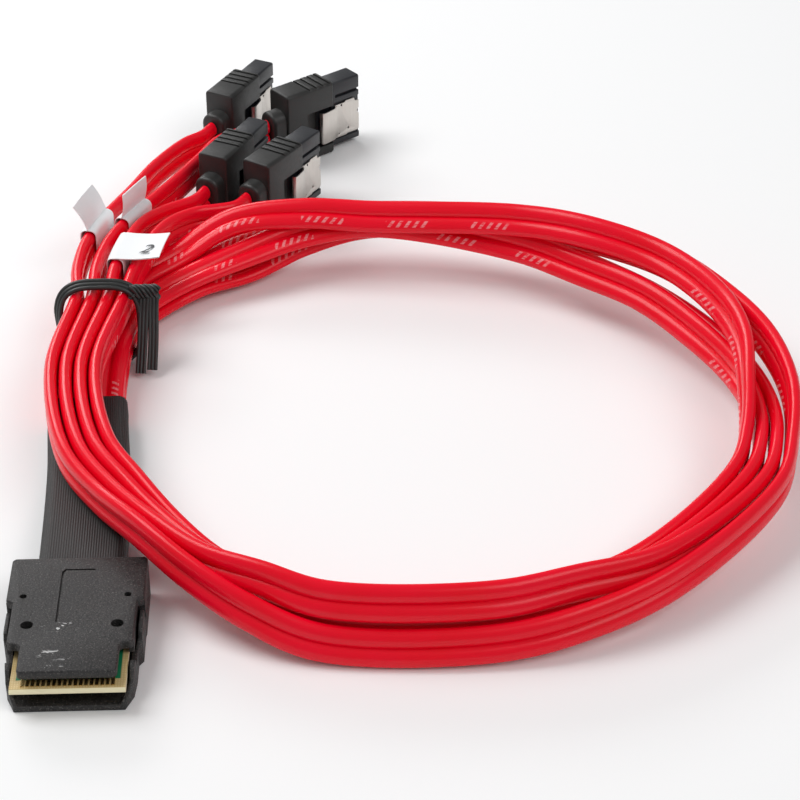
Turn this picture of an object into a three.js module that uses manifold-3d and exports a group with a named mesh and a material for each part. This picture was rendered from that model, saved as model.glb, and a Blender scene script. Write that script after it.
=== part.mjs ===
// Internal mini SAS to four SATA breakout cable, laid in one loop, in millimetres with +Z up.
// The origin is on the floor under the middle of the mini SAS plug. +Y runs from its mating end to
// its cable end. The four flat cables run to the far side, once round clockwise, over their own
// sleeve, through the tie again and on to the four SATA plugs, which stand on a narrow edge.
import * as THREE from 'three';
import { mergeVertices } from 'three/addons/utils/BufferGeometryUtils.js';
import Module from 'manifold-3d';

const wasm = await Module();
wasm.setup();

// Clearances between pieces that touch on the real cable.
const FIT = 0.3;
const THIN_FIT = 0.1;

// Flat twin-lobe cable.
const CABLE_WIDTH = 6.2;
const CABLE_THICKNESS = 2.3;
const WEB_THICKNESS = 1.3;
const CABLE_STEP = 9.5;

// Mini SAS plug body.
const BODY_HALF_WIDTH = 10.7;
const BODY_REAR = 14;
const BODY_HEIGHT = 7.5;
const SPLIT_HEIGHT = 3.9;
const STEP_Y = 3;
const WAIST_INSET = 1.1;
const TONGUE_INSET = 3.2;
const COVER_WAIST_HALF = BODY_HALF_WIDTH - WAIST_INSET;
const TONGUE_HALF = BODY_HALF_WIDTH - TONGUE_INSET;
const TONGUE_REAR = -7;
const TONGUE_FRONT = -13.6;
const COVER_THICKNESS = 1.6;
const COVER_WALL = 0.9;
const COVER_CORNER = 0.5;
const SMALL_HOLE = { inset: 2.6, y: 4.4, width: 1, length: 1.3 };
const LARGE_HOLE = { inset: 3.8, y: -2.6, width: 1.9, length: 1.2 };
const GROOVE = { x: -2.6, front: -2, rear: 11, right: 2.6, width: 0.35, depth: 0.3 };

// Lower tray of the mini SAS plug.
const TRAY_FLOOR = 1.1;
const TRAY_FRONT = -14;
const WING_INSET = 0.1;
const WING_HALF = BODY_HALF_WIDTH - WING_INSET;
const WING_TOP = 6;
const WING_THICKNESS = 0.6;
const WING_FRONT = -4;
const CHEEK_INSET = 0.8;
const CHEEK_HALF = BODY_HALF_WIDTH - CHEEK_INSET;
const CHEEK_THICKNESS = 0.85;
const CHEEK_REAR = -8;
const CHEEK_TOP = 4.9;
const NOTCH_TOP = 3.4;
const NOSE_TAPER_Y = -11.2;
const NOSE_FRONT_INSET = 1.5;
const NOSE_FRONT_HALF = CHEEK_HALF - NOSE_FRONT_INSET;
const TRAY_WALL = 0.9;

// Paddle card, its contact pads, the potting over the joints and the latch plate below.
const CARD_SIDE_GAP = 0.35;
const CARD_HALF_WIDTH = CHEEK_HALF - CHEEK_THICKNESS - CARD_SIDE_GAP;
const CARD_THICKNESS = 1.1;
const CARD_BOTTOM = 3.6;
const CARD_FRONT = -14.5;
const CARD_REAR = 5.5;
const CARD_BEVEL = 0.35;
const PAD_COUNT = 18;
const PAD_PITCH = 0.8;
const PAD_WIDTH = 0.5;
const PAD_LENGTH = 4.2;
const PAD_BAR = 0.6;
const PAD_THICKNESS = 0.1;
const PAD_SETBACK = 0.4;
const PAD_LIFT = 0.05;
const POTTING_LENGTH = 2.9;
const POTTING_INSET = 0.3;
const POTTING_HALF_WIDTH = CARD_HALF_WIDTH - POTTING_INSET;
const LATCH_PLATE = { halfWidth: 4, front: -12, rear: 9, thickness: 0.4, recess: 0.5 };
const LATCH_HOOK = { halfSpan: 3.4, length: 1.4, width: 1.2 };

// Woven sleeve over the four cables behind the plug.
const SLEEVE_WALL = 0.35;
const SLEEVE_FIT = 0.25;
const SLEEVE_STEPS = 10;

// Cable pitches: across the thickness, across the width, and the return row under the tie.
const PITCH_THIN = 2.6;
const PITCH_WIDE = 6.5;
const RETURN_PITCH = 2.9;
const COLLAR_APPROACH = 4;

// SATA plug: grip, collar, nose, slot, contacts and steel latch.
const GRIP = { length: 12, width: 16.6, thickness: 6.4, corner: 0.7, bevel: 0.35 };
const COLLAR = { length: 3, width: 9, thickness: 5.2, corner: 2.3 };
const NOSE = { length: 7.6, width: 14.8, thickness: 4.5, corner: 0.4 };
const SHANK = { length: 3.4, width: 12.6, thickness: 3.2 };
const SLOT = { width: 11, thickness: 2.1, depth: 5.2, key: 1.5, keyDrop: 0.6 };
const CONTACT = { count: 7, pitch: 1.27, width: 0.45, thickness: 0.25, length: 4.2, bar: 0.5 };
const RIB = { count: 4, pitch: 1.75, groove: 0.55, depth: 0.4, front: 0.7 };
const WINDOW = { front: 6.9, low: 2.3, high: 11.1, depth: 1.5 };
const NOSE_GROOVE = { low: 12.1, high: 12.8, depth: 0.7, length: 6.4 };
const LATCH = { low: 2.6, high: 10.7, thickness: 0.3, plateLength: 6.4, seat: 0.35 };
const PRESS_TAB = { low: 2.9, high: 10.1, length: 4.4, lift: 1.1, curl: 0.4 };

// Poses of the four SATA plugs: middle of the tail face on the floor, and heading in degrees.
const SATA_PLUGS = [
  { label: '1', strand: 'R', x: 17.9, y: 158.8, heading: 62 },
  { label: '2', strand: 'Q', x: 17.4, y: 131.5, heading: 63 },
  { label: '3', strand: 'S', x: 30.4, y: 158.6, heading: 37.5 },
  { label: '4', strand: 'P', x: 26.1, y: 128.2, heading: 56 },
];

// Strip tie round both passes of the bundle, its knot and its two tails.
const TIE = { x: -1.8, y: 83.6, width: 2.4, thickness: 0.5, corner: 1.4, room: 0.55, lean: 16 };
const KNOT = { x: 6.5, y: 85.6, z: 12.6, size: 2.6, turns: 3 };
const TIE_TAILS = [
  { top: [6.1, 85.3, 12], tip: [6.2, 76.6, 1.1] },
  { top: [7.7, 85.7, 12.2], tip: [8.9, 77.2, 1.4] },
];
const TAIL_WIDTH = 1.9;

// Paper flags near the tie: where each starts along its cable, and the heading of its flag.
const LABEL = { length: 9.5, paper: 0.2, room: 0.45 };
const LABELS = [
  { plug: 0, from: 107, flag: 5.5, turn: 118 },
  { plug: 1, from: 95.5, flag: 8.5, turn: 6 },
  { plug: 2, from: 112.5, flag: 5, turn: 85 },
];

const COLOURS = {
  shell: ['#2b2b2d', 0.75, 0],
  card: ['#b9a878', 0.6, 0],
  gold: ['#c9a24a', 0.3, 0.9],
  steel: ['#c9c2b6', 0.3, 0.95],
  potting: ['#e6dfcc', 0.5, 0],
  cable: ['#d4060f', 0.3, 0],
  sleeve: ['#232326', 0.85, 0],
  grip: ['#2e2f31', 0.6, 0],
  nose: ['#202124', 0.5, 0],
  tie: ['#1c1e1e', 0.5, 0],
  paper: ['#f2f4f6', 0.8, 0],
};

// The bundle's stations: its middle, how far the flats lean from upright, and where each cable lies
// across it. The first number of a pair runs along the flats' normal, the second along their width.
const FLAT = 90;
const UPRIGHT = 180;
const row = PITCH_THIN / 2;
const column = PITCH_WIDE / 2;
const SLEEVED = { P: [row, -column], Q: [row, column], R: [-row, -column], S: [-row, column] };
const IN_LINE = { P: [3 * row, 0], Q: [row, 0], S: [-row, 0], R: [-3 * row, 0] };
const UNDER_TIE = {
  P: [1.5 * RETURN_PITCH, 0], Q: [RETURN_PITCH / 2, 0],
  S: [-RETURN_PITCH / 2, 0], R: [-1.5 * RETURN_PITCH, 0],
};
const STATIONS = [
  { at: [0, 9.3, 3.75], lean: FLAT, spread: SLEEVED },
  { at: [0, 14.3, 3.75], lean: FLAT, spread: SLEEVED, sleeve: 'start' },
  { at: [-0.9, 40, 3.6], lean: FLAT, spread: SLEEVED },
  { at: [-2.6, 61, 3.6], lean: FLAT, spread: SLEEVED, sleeve: 'end' },
  { at: [-2.7, 73, 3.9], lean: FLAT, spread: SLEEVED },
  { at: [-2, 84, 4], lean: FLAT, spread: SLEEVED, tied: true },
  { at: [0.8, 93.5, 3.9], lean: 92,
    spread: { P: [1.35, -3.35], Q: [1.3, 3.35], R: [-1.3, -3.35], S: [-1.35, 3.35] } },
  { at: [6.2, 101, 4], lean: 93,
    spread: { P: [1.4, -3.35], Q: [1.3, 3.35], R: [-1.3, -3.35], S: [-1.4, 3.35] } },
  { at: [13.2, 106.6, 5], lean: 98,
    spread: { P: [1.5, -3.3], Q: [1.3, 3.3], R: [-1.3, -3.3], S: [-1.5, 3.3] } },
  { at: [23, 111.2, 7.6], lean: 112,
    spread: { P: [3.6, -3.3], Q: [1.35, 3.2], R: [-1.35, -3.2], S: [-3.8, 3.2] } },
  { at: [35, 114, 9.6], lean: 130,
    spread: { P: [4.1, -1.6], Q: [1.37, 1.4], R: [-1.37, -1.8], S: [-4.1, 1.2] } },
  { at: [49, 114, 11], lean: 142,
    spread: { P: [4.1, -0.2], Q: [1.37, 0.4], R: [-1.37, -1], S: [-4.1, -0.3] } },
  { at: [77, 107.8, 11.5], lean: 145,
    spread: { P: [4.1, -1.8], Q: [1.37, 2.8], R: [-1.37, -2], S: [-4.1, 1.4] } },
  { at: [89.6, 100, 11.5], lean: 144,
    spread: { P: [3.8, -3.2], Q: [1.37, 3.8], R: [-1.37, -2.8], S: [-4.1, 3.2] } },
  { at: [101, 90, 11.5], lean: 144,
    spread: { P: [1.7, -3.7], Q: [1.37, 4], R: [-1.37, -3.4], S: [-1.6, 4] } },
  { at: [109, 77.8, 11], lean: 150,
    spread: { P: [1.6, -3.7], Q: [1.37, 4], R: [-1.6, -3.5], S: [-1.37, 3.8] } },
  { at: [113.8, 65.4, 10.4], lean: 160,
    spread: { P: [2.7, -3.4], Q: [1.3, 3.4], R: [-2.7, -3.4], S: [-1.3, 3.4] } },
  { at: [115.2, 52, 9.8], lean: 170,
    spread: { P: [3.9, -2.3], Q: [1.3, 2.1], R: [-3.9, -2.3], S: [-1.3, 2.1] } },
  { at: [113.9, 40, 9], lean: 177,
    spread: { P: [3.9, -0.6], Q: [1.3, 0.4], R: [-3.9, -0.6], S: [-1.3, 0.4] } },
  { at: [110, 29, 8.2], lean: UPRIGHT,
    spread: { P: [4.1, 0], Q: [1.37, 0], S: [-1.37, 0], R: [-4.1, 0] } },
  { at: [91.8, 9.4, 6.6], lean: 190,
    spread: { P: [4.1, 0.2], Q: [1.37, -0.3], S: [-1.37, -1.8], R: [-4.1, 0.6] } },
  { at: [77.8, 2.2, 6.2], lean: 198,
    spread: { P: [4.1, 0.3], Q: [1.37, -0.6], S: [-1.37, -3.3], R: [-4, 2.2] } },
  { at: [64.5, -1.8, 6], lean: 204,
    spread: { P: [4.1, 0.4], Q: [1.37, -0.9], S: [-1.37, -3.4], R: [-1.8, 3.4] } },
  { at: [38.5, -0.8, 6.1], lean: 203,
    spread: { P: [4.1, 0.4], Q: [1.37, -0.8], S: [-1.37, -3.4], R: [-1.7, 3.4] } },
  { at: [28.6, 4, 7.3], lean: 196,
    spread: { P: [3.9, 1.2], Q: [1.3, -0.4], S: [-1.3, -3.2], R: [-3.9, 1.6] } },
  { at: [19.8, 10, 9], lean: 190,
    spread: { P: [3.9, 2.2], Q: [1.3, 0.4], S: [-1.3, -1.2], R: [-3.9, 0.2] } },
  { at: [12, 18.4, 10], lean: 184,
    spread: { P: [3.9, 2], Q: [1.3, 0.6], S: [-1.3, -0.6], R: [-3.9, -0.9] } },
  { at: [5, 28.4, 10.3], lean: UPRIGHT,
    spread: { P: [3.9, 0.6], Q: [1.3, 0], S: [-1.3, 0], R: [-3.9, 0] } },
  { at: [-0.8, 39.4, 10.3], lean: UPRIGHT, spread: IN_LINE },
  { at: [-4.8, 63, 10.3], lean: UPRIGHT, spread: IN_LINE },
  { at: [-1.8, 86, 10.3], lean: UPRIGHT, spread: UNDER_TIE },
];

// Each cable's own way from the tie to its SATA plug, upright all the way.
const LEGS = {
  R: [[-6.7, 95, 10.3], [-5.9, 105, 10.3], [-3.2, 115, 10], [1.2, 126.5, 9.5], [5.6, 138.8, 8.9],
    [11.2, 149.2, 8.4]],
  Q: [[0.5, 96, 10.9], [2.6, 106.5, 10.9], [5, 114.2, 10], [8.9, 120.2, 8.9]],
  S: [[-3.2, 96, 10.3], [-1.4, 107, 10], [2.2, 116.6, 9.5], [9, 131, 8.6],
    [14.2, 142.2, 8.3], [17.4, 149.2, 8.3], [20.6, 152.4, 8.3]],
  P: [[4, 96, 10.3], [6.4, 106, 10.2], [9.5, 113.6, 9.6], [14.4, 119, 8.8]],
};

const group = new THREE.Group();

function material(kind) {
  const [color, roughness, metalness] = COLOURS[kind];
  return new THREE.MeshStandardMaterial({ color, roughness, metalness });
}

function addPiece(name, kind, geometry, parent = group) {
  const piece = new THREE.Mesh(geometry, material(kind));
  piece.name = name;
  parent.add(piece);
}

// Closed meshes as solids, to cut and join.
function solid(geometry) {
  const bare = geometry.index ? geometry.clone() : geometry;
  bare.deleteAttribute('normal');
  bare.deleteAttribute('uv');
  const merged = mergeVertices(bare, 1e-4);
  return new wasm.Manifold(new wasm.Mesh({
    numProp: 3,
    vertProperties: new Float32Array(merged.attributes.position.array),
    triVerts: new Uint32Array(merged.index.array),
  }));
}

function shell(manifold) {
  const mesh = manifold.getMesh();
  const geometry = new THREE.BufferGeometry();
  geometry.setAttribute('position', new THREE.BufferAttribute(mesh.vertProperties, 3));
  geometry.setIndex(new THREE.BufferAttribute(mesh.triVerts, 1));
  geometry.computeVertexNormals();
  return geometry;
}

function join(first, ...others) {
  return others.reduce((sum, other) => sum.add(other), first);
}

function cut(first, ...others) {
  return others.reduce((rest, other) => rest.subtract(other), first);
}

function block(x0, x1, y0, y1, z0, z1) {
  const box = new THREE.BoxGeometry(x1 - x0, y1 - y0, z1 - z0);
  box.translate((x0 + x1) / 2, (y0 + y1) / 2, (z0 + z1) / 2);
  return solid(box);
}

function shapeOf(points) {
  return new THREE.Shape(points.map(([x, y]) => new THREE.Vector2(x, y)));
}

// A plan outline raised from one height to another.
function slab(points, z0, z1) {
  const geometry = new THREE.ExtrudeGeometry(shapeOf(points), { depth: z1 - z0, bevelEnabled: false });
  geometry.translate(0, 0, z0);
  return solid(geometry);
}

const AXIS_X = new THREE.Vector3(1, 0, 0);
const AXIS_Y = new THREE.Vector3(0, 1, 0);
const AXIS_Z = new THREE.Vector3(0, 0, 1);
const ACROSS = new THREE.Matrix4().makeBasis(AXIS_Y, AXIS_Z, AXIS_X);

// An outline in Y and Z pushed along X.
function bar(points, x0, x1) {
  const geometry = new THREE.ExtrudeGeometry(shapeOf(points), { depth: x1 - x0, bevelEnabled: false });
  geometry.applyMatrix4(ACROSS);
  geometry.translate(x0, 0, 0);
  return solid(geometry);
}

// The right half of an outline, mirrored into a whole one.
function mirrored(half) {
  const left = half.map(([x, y]) => [-x, y]).reverse();
  return [...half, ...left];
}

function roundedOutline(width, height, radius, corners = 3) {
  const points = [];
  for (let side = 0; side < 4; side += 1) {
    const cx = (side === 0 || side === 3 ? 1 : -1) * (width / 2 - radius);
    const cy = (side < 2 ? 1 : -1) * (height / 2 - radius);
    for (let step = 0; step <= corners; step += 1) {
      const angle = (side + step / corners) * (Math.PI / 2);
      points.push([cx + radius * Math.cos(angle), cy + radius * Math.sin(angle)]);
    }
  }
  return points;
}

// A rounded section in Y and Z, run along X with an optional bevel at both ends.
function post(width, thickness, corner, x0, x1, bevel = 0, middle = 0) {
  const shape = shapeOf(roundedOutline(thickness - 2 * bevel, width - 2 * bevel, corner));
  const geometry = new THREE.ExtrudeGeometry(shape, {
    depth: x1 - x0 - 2 * bevel, bevelEnabled: bevel > 0,
    bevelSize: bevel, bevelThickness: bevel, bevelSegments: 1,
  });
  geometry.applyMatrix4(ACROSS);
  geometry.translate(x0 + bevel, 0, middle);
  return solid(geometry);
}

// Mini SAS plug.

function coverOutline() {
  const c = COVER_CORNER;
  return mirrored([
    [TONGUE_HALF - c, TONGUE_FRONT], [TONGUE_HALF, TONGUE_FRONT + c],
    [TONGUE_HALF, TONGUE_REAR - c], [TONGUE_HALF + c, TONGUE_REAR],
    [COVER_WAIST_HALF - c, TONGUE_REAR], [COVER_WAIST_HALF, TONGUE_REAR + c],
    [COVER_WAIST_HALF, STEP_Y], [BODY_HALF_WIDTH, STEP_Y + c],
    [BODY_HALF_WIDTH, BODY_REAR - c], [BODY_HALF_WIDTH - c, BODY_REAR],
  ]);
}

function cableMouth() {
  const halfWidth = column + CABLE_WIDTH / 2 + FIT;
  const halfHeight = row + CABLE_THICKNESS / 2 + FIT;
  const middle = STATIONS[0].at[2];
  return block(-halfWidth, halfWidth, STATIONS[0].at[1] - FIT, BODY_REAR + 1,
    middle - halfHeight, middle + halfHeight);
}

function topCover() {
  const plateBottom = BODY_HEIGHT - COVER_THICKNESS;
  const plate = slab(coverOutline(), plateBottom, BODY_HEIGHT);
  const inner = BODY_HALF_WIDTH - COVER_WALL;
  const skirt = cut(
    block(-BODY_HALF_WIDTH, BODY_HALF_WIDTH, STEP_Y + COVER_CORNER, BODY_REAR - COVER_CORNER,
      SPLIT_HEIGHT, BODY_HEIGHT - COVER_CORNER),
    block(-inner, inner, STEP_Y - 1, BODY_REAR - COVER_CORNER - COVER_WALL, 0, plateBottom),
  );
  const ribs = [-1, 1].map((side) => {
    const outer = side * COVER_WAIST_HALF;
    const within = side * (COVER_WAIST_HALF - COVER_WALL + THIN_FIT);
    return block(Math.min(outer, within), Math.max(outer, within), TONGUE_REAR + COVER_CORNER,
      STEP_Y + COVER_CORNER + FIT, CARD_BOTTOM + CARD_THICKNESS + FIT, BODY_HEIGHT - COVER_CORNER);
  });
  const holes = [SMALL_HOLE, LARGE_HOLE].flatMap((hole) => [-1, 1].map((side) => block(
    side * (BODY_HALF_WIDTH - hole.inset) - hole.width / 2,
    side * (BODY_HALF_WIDTH - hole.inset) + hole.width / 2,
    hole.y - hole.length / 2, hole.y + hole.length / 2, plateBottom - 1, BODY_HEIGHT + 1,
  )));
  const floor = BODY_HEIGHT - GROOVE.depth;
  const grooves = [
    block(GROOVE.x, GROOVE.x + GROOVE.width, GROOVE.front, GROOVE.rear, floor, BODY_HEIGHT + 1),
    block(GROOVE.x, GROOVE.right, GROOVE.rear - GROOVE.width, GROOVE.rear, floor, BODY_HEIGHT + 1),
  ];
  return shell(cut(join(plate, skirt, ...ribs), ...holes, ...grooves, cableMouth()));
}

function trayOutline(inset) {
  const taper = CHEEK_HALF - 0.3;
  return mirrored([
    [NOSE_FRONT_HALF - inset, TRAY_FRONT], [taper - inset, NOSE_TAPER_Y],
    [CHEEK_HALF - inset, CHEEK_REAR], [CHEEK_HALF - inset, WING_FRONT],
    [WING_HALF - inset, WING_FRONT + 1], [WING_HALF - inset, STEP_Y],
    [BODY_HALF_WIDTH - inset, STEP_Y + COVER_CORNER],
    [BODY_HALF_WIDTH - inset, BODY_REAR - COVER_CORNER],
    [BODY_HALF_WIDTH - COVER_CORNER - inset, BODY_REAR],
  ]);
}

function bottomTray() {
  const wallTop = [
    [TRAY_FRONT, 0], [BODY_REAR, 0], [BODY_REAR, SPLIT_HEIGHT - THIN_FIT],
    [STEP_Y, SPLIT_HEIGHT - THIN_FIT], [STEP_Y, WING_TOP - 0.8], [STEP_Y - 1, WING_TOP],
    [WING_FRONT + 2, WING_TOP], [WING_FRONT, NOTCH_TOP], [CHEEK_REAR, NOTCH_TOP],
    [CHEEK_REAR, CHEEK_TOP], [CHEEK_REAR - 1.2, CHEEK_TOP], [NOSE_TAPER_Y - 1, 2.4],
    [TRAY_FRONT, TRAY_FLOOR + 0.2],
  ];
  const width = BODY_HALF_WIDTH + 1;
  const body = slab(trayOutline(0), 0, WING_TOP).intersect(bar(wallTop, -width, width));
  const cheekInner = CHEEK_HALF - CHEEK_THICKNESS;
  const wingInner = WING_HALF - WING_THICKNESS;
  const rearInner = BODY_HALF_WIDTH - TRAY_WALL;
  const cavity = slab(mirrored([
    [NOSE_FRONT_HALF - CHEEK_THICKNESS, TRAY_FRONT - 1],
    [NOSE_FRONT_HALF - CHEEK_THICKNESS + 0.25, TRAY_FRONT], [cheekInner, NOSE_TAPER_Y],
    [cheekInner, WING_FRONT - 1], [wingInner, WING_FRONT + 1], [wingInner, STEP_Y + FIT],
    [rearInner, STEP_Y + 2 * FIT], [rearInner, BODY_REAR - TRAY_WALL],
  ]), TRAY_FLOOR, WING_TOP + 1);
  const plate = LATCH_PLATE;
  const recess = block(-plate.halfWidth - FIT, plate.halfWidth + FIT, plate.front - FIT,
    plate.rear + FIT, -1, plate.recess);
  return shell(cut(body, cavity, recess, cableMouth()));
}

function paddleCard() {
  const top = CARD_BOTTOM + CARD_THICKNESS;
  const b = CARD_BEVEL;
  return shell(bar([
    [CARD_FRONT, CARD_BOTTOM + b], [CARD_FRONT + b, CARD_BOTTOM], [CARD_REAR, CARD_BOTTOM],
    [CARD_REAR, top], [CARD_FRONT + b, top], [CARD_FRONT, top - b],
  ], -CARD_HALF_WIDTH, CARD_HALF_WIDTH));
}

// Gold fingers joined at their rear by the strip that the cover hides.
function padComb(z0) {
  const front = CARD_FRONT + CARD_BEVEL + PAD_SETBACK;
  const rear = front + PAD_LENGTH;
  const first = -((PAD_COUNT - 1) / 2) * PAD_PITCH - PAD_WIDTH / 2;
  const outline = [];
  for (let i = 0; i < PAD_COUNT; i += 1) {
    const x = first + i * PAD_PITCH;
    outline.push([x, rear], [x, front], [x + PAD_WIDTH, front], [x + PAD_WIDTH, rear]);
  }
  const last = outline[outline.length - 1][0];
  outline.push([last, rear + PAD_BAR], [first, rear + PAD_BAR]);
  return shell(slab(outline, z0, z0 + PAD_THICKNESS));
}

function potting() {
  const front = CARD_REAR + FIT;
  const rear = front + POTTING_LENGTH;
  const low = TRAY_FLOOR + FIT;
  const high = BODY_HEIGHT - COVER_THICKNESS - FIT;
  return shell(bar([
    [front, low], [rear, low], [rear, high - 0.6], [rear - 0.6, high], [front + 0.6, high],
    [front, high - 0.6],
  ], -POTTING_HALF_WIDTH, POTTING_HALF_WIDTH));
}

function latchPlate() {
  const plate = LATCH_PLATE;
  const hook = LATCH_HOOK;
  const base = plate.recess - THIN_FIT - plate.thickness;
  const top = base + plate.thickness;
  const window = block(-1.5, 1.5, plate.rear - 6, plate.rear - 2, -1, plate.recess + 1);
  const gap = block(-hook.halfSpan + hook.width, hook.halfSpan - hook.width, plate.front - 1,
    plate.front + hook.length, -1, plate.recess + 1);
  return shell(cut(block(-plate.halfWidth, plate.halfWidth, plate.front, plate.rear, base, top),
    window, gap));
}

const cardTop = CARD_BOTTOM + CARD_THICKNESS;
addPiece('mini_sas_top_cover', 'shell', topCover());
addPiece('mini_sas_bottom_tray', 'shell', bottomTray());
addPiece('paddle_card', 'card', paddleCard());
addPiece('card_pads_top', 'gold', padComb(cardTop + PAD_LIFT));
addPiece('card_pads_bottom', 'gold', padComb(CARD_BOTTOM - PAD_LIFT - PAD_THICKNESS));
addPiece('wire_potting', 'potting', potting());
addPiece('mini_sas_latch_plate', 'steel', latchPlate());

// Laid cables: a smooth route whose flats lean as its stations say.

function flatsAt(tangent, lean) {
  const left = new THREE.Vector3(-tangent.y, tangent.x, 0).normalize();
  const rise = new THREE.Vector3().crossVectors(tangent, left);
  const angle = THREE.MathUtils.degToRad(lean);
  const normal = left.multiplyScalar(Math.cos(angle)).addScaledVector(rise, Math.sin(angle));
  return { normal, width: new THREE.Vector3().crossVectors(tangent, normal) };
}

class LaidRoute extends THREE.Curve {
  constructor(points, leans) {
    super();
    this.route = new THREE.CatmullRomCurve3(points, false, 'centripetal');
    this.leans = new THREE.SplineCurve(leans.map((lean, i) => new THREE.Vector2(i, lean)));
  }

  getPoint(t, target) {
    return this.route.getPoint(t, target);
  }

  computeFrenetFrames(segments) {
    const frames = { tangents: [], normals: [], binormals: [] };
    for (let i = 0; i <= segments; i += 1) {
      const tangent = this.getTangentAt(i / segments);
      const { normal, width } = flatsAt(tangent, this.leans.getPoint(this.getUtoTmapping(i / segments)).y);
      frames.tangents.push(tangent);
      frames.normals.push(normal);
      frames.binormals.push(width);
    }
    return frames;
  }
}

const middleLine = new THREE.CatmullRomCurve3(
  STATIONS.map(({ at }) => new THREE.Vector3(...at)), false, 'centripetal');

function stationPoint(index, strand) {
  const { at, lean, spread } = STATIONS[index];
  const { normal, width } = flatsAt(middleLine.getTangent(index / (STATIONS.length - 1)), lean);
  const [across, along] = spread[strand];
  return new THREE.Vector3(...at).addScaledVector(normal, across).addScaledVector(width, along);
}

function headingOf(plug) {
  const angle = THREE.MathUtils.degToRad(plug.heading);
  return new THREE.Vector3(Math.cos(angle), Math.sin(angle), 0);
}

function strandRoute(plug) {
  const points = STATIONS.map((_, index) => stationPoint(index, plug.strand));
  points.push(...LEGS[plug.strand].map((at) => new THREE.Vector3(...at)));
  const tail = new THREE.Vector3(plug.x, plug.y, GRIP.width / 2);
  const heading = headingOf(plug);
  points.push(tail.clone().addScaledVector(heading, -COLLAR.length - FIT - COLLAR_APPROACH));
  points.push(tail.clone().addScaledVector(heading, -COLLAR.length - FIT));
  const leans = points.map((_, i) => (i < STATIONS.length ? STATIONS[i].lean : UPRIGHT));
  return new LaidRoute(points, leans);
}

function cableSection() {
  const w = CABLE_WIDTH / 2;
  const t = CABLE_THICKNESS / 2;
  const half = [[0.74 * t, -0.86 * w], [t, -w / 2], [WEB_THICKNESS / 2, 0], [t, w / 2], [0.74 * t, 0.86 * w]];
  return [[0, -w], ...half, [0, w], ...half.map(([x, y]) => [-x, -y])];
}

function sweep(shape, route, steps) {
  return new THREE.ExtrudeGeometry(shape, { steps, bevelEnabled: false, extrudePath: route });
}

const routes = SATA_PLUGS.map(strandRoute);
routes.forEach((route, i) => {
  const steps = Math.round(route.getLength() / CABLE_STEP);
  const geometry = sweep(shapeOf(cableSection()), route, steps);
  addPiece(`cable_${SATA_PLUGS[i].label}`, 'cable', shell(solid(geometry)));
});

function sleeve() {
  const first = STATIONS.findIndex((station) => station.sleeve === 'start');
  const last = STATIONS.findIndex((station) => station.sleeve === 'end');
  const points = [];
  for (let i = first; i <= last; i += 0.5) {
    points.push(middleLine.getPoint(i / (STATIONS.length - 1)));
  }
  const route = new LaidRoute(points, points.map(() => FLAT));
  const innerThick = PITCH_THIN + CABLE_THICKNESS + 2 * SLEEVE_FIT;
  const innerWide = PITCH_WIDE + CABLE_WIDTH + 2 * SLEEVE_FIT;
  const corner = row;
  const outer = roundedOutline(innerThick + 2 * SLEEVE_WALL, innerWide + 2 * SLEEVE_WALL, corner + SLEEVE_WALL);
  const shape = shapeOf(outer);
  shape.holes.push(shapeOf(roundedOutline(innerThick, innerWide, corner)));
  return shell(solid(sweep(shape, route, SLEEVE_STEPS)));
}
addPiece('cable_sleeve', 'sleeve', sleeve());

// Tie: one ridged strip round both passes, knotted at the upper right, with two hanging tails.

function strip(from, to, width, thickness) {
  const start = new THREE.Vector3(...from);
  const run = new THREE.Vector3(...to).sub(start);
  const geometry = new THREE.BoxGeometry(width, thickness, run.length());
  geometry.translate(0, 0, run.length() / 2);
  const across = new THREE.Vector3().crossVectors(run, AXIS_Y).normalize();
  const front = new THREE.Vector3().crossVectors(run.clone().normalize(), across);
  geometry.applyMatrix4(new THREE.Matrix4().makeBasis(across, front, run.normalize()));
  geometry.translate(...start.toArray());
  return solid(geometry);
}

function tie() {
  const out = STATIONS.find((station) => station.tied).at[2];
  const back = STATIONS[STATIONS.length - 1].at[2];
  const low = out - row - CABLE_THICKNESS / 2 - TIE.room;
  const high = back + CABLE_WIDTH / 2 + TIE.room;
  const innerWide = 2 * (column + CABLE_WIDTH / 2 + TIE.room);
  const middle = (low + high) / 2;
  const lean = THREE.MathUtils.degToRad(TIE.lean);
  const innerTall = (high - low) / Math.cos(lean);
  const shape = shapeOf(roundedOutline(innerWide + 2 * TIE.thickness,
    innerTall + 2 * TIE.thickness, TIE.corner + TIE.thickness));
  shape.holes.push(shapeOf(roundedOutline(innerWide, innerTall, TIE.corner)));
  const ring = new THREE.ExtrudeGeometry(shape, { depth: TIE.width, bevelEnabled: false });
  ring.translate(0, 0, -TIE.width / 2);
  ring.rotateX(Math.PI / 2 - lean);
  ring.translate(TIE.x, TIE.y, middle);
  const knots = [];
  for (let turn = 0; turn < KNOT.turns; turn += 1) {
    const twist = new THREE.BoxGeometry(KNOT.size, TIE.width, KNOT.size);
    twist.rotateZ((turn * Math.PI) / (2 * KNOT.turns));
    twist.rotateY(Math.PI / 4);
    twist.translate(KNOT.x + turn * 0.5 - 0.5, KNOT.y, KNOT.z);
    knots.push(solid(twist));
  }
  const tails = TIE_TAILS.map(({ top, tip }) => strip(top, tip, TAIL_WIDTH, TIE.thickness));
  return shell(join(solid(ring), ...knots, ...tails));
}
addPiece('twist_tie', 'tie', tie());

// SATA plugs, each built along its own +X from the tail face and stood on its narrow edge.

const NOSE_TIP = GRIP.length + NOSE.length;
const MIDDLE = GRIP.width / 2;

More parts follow.
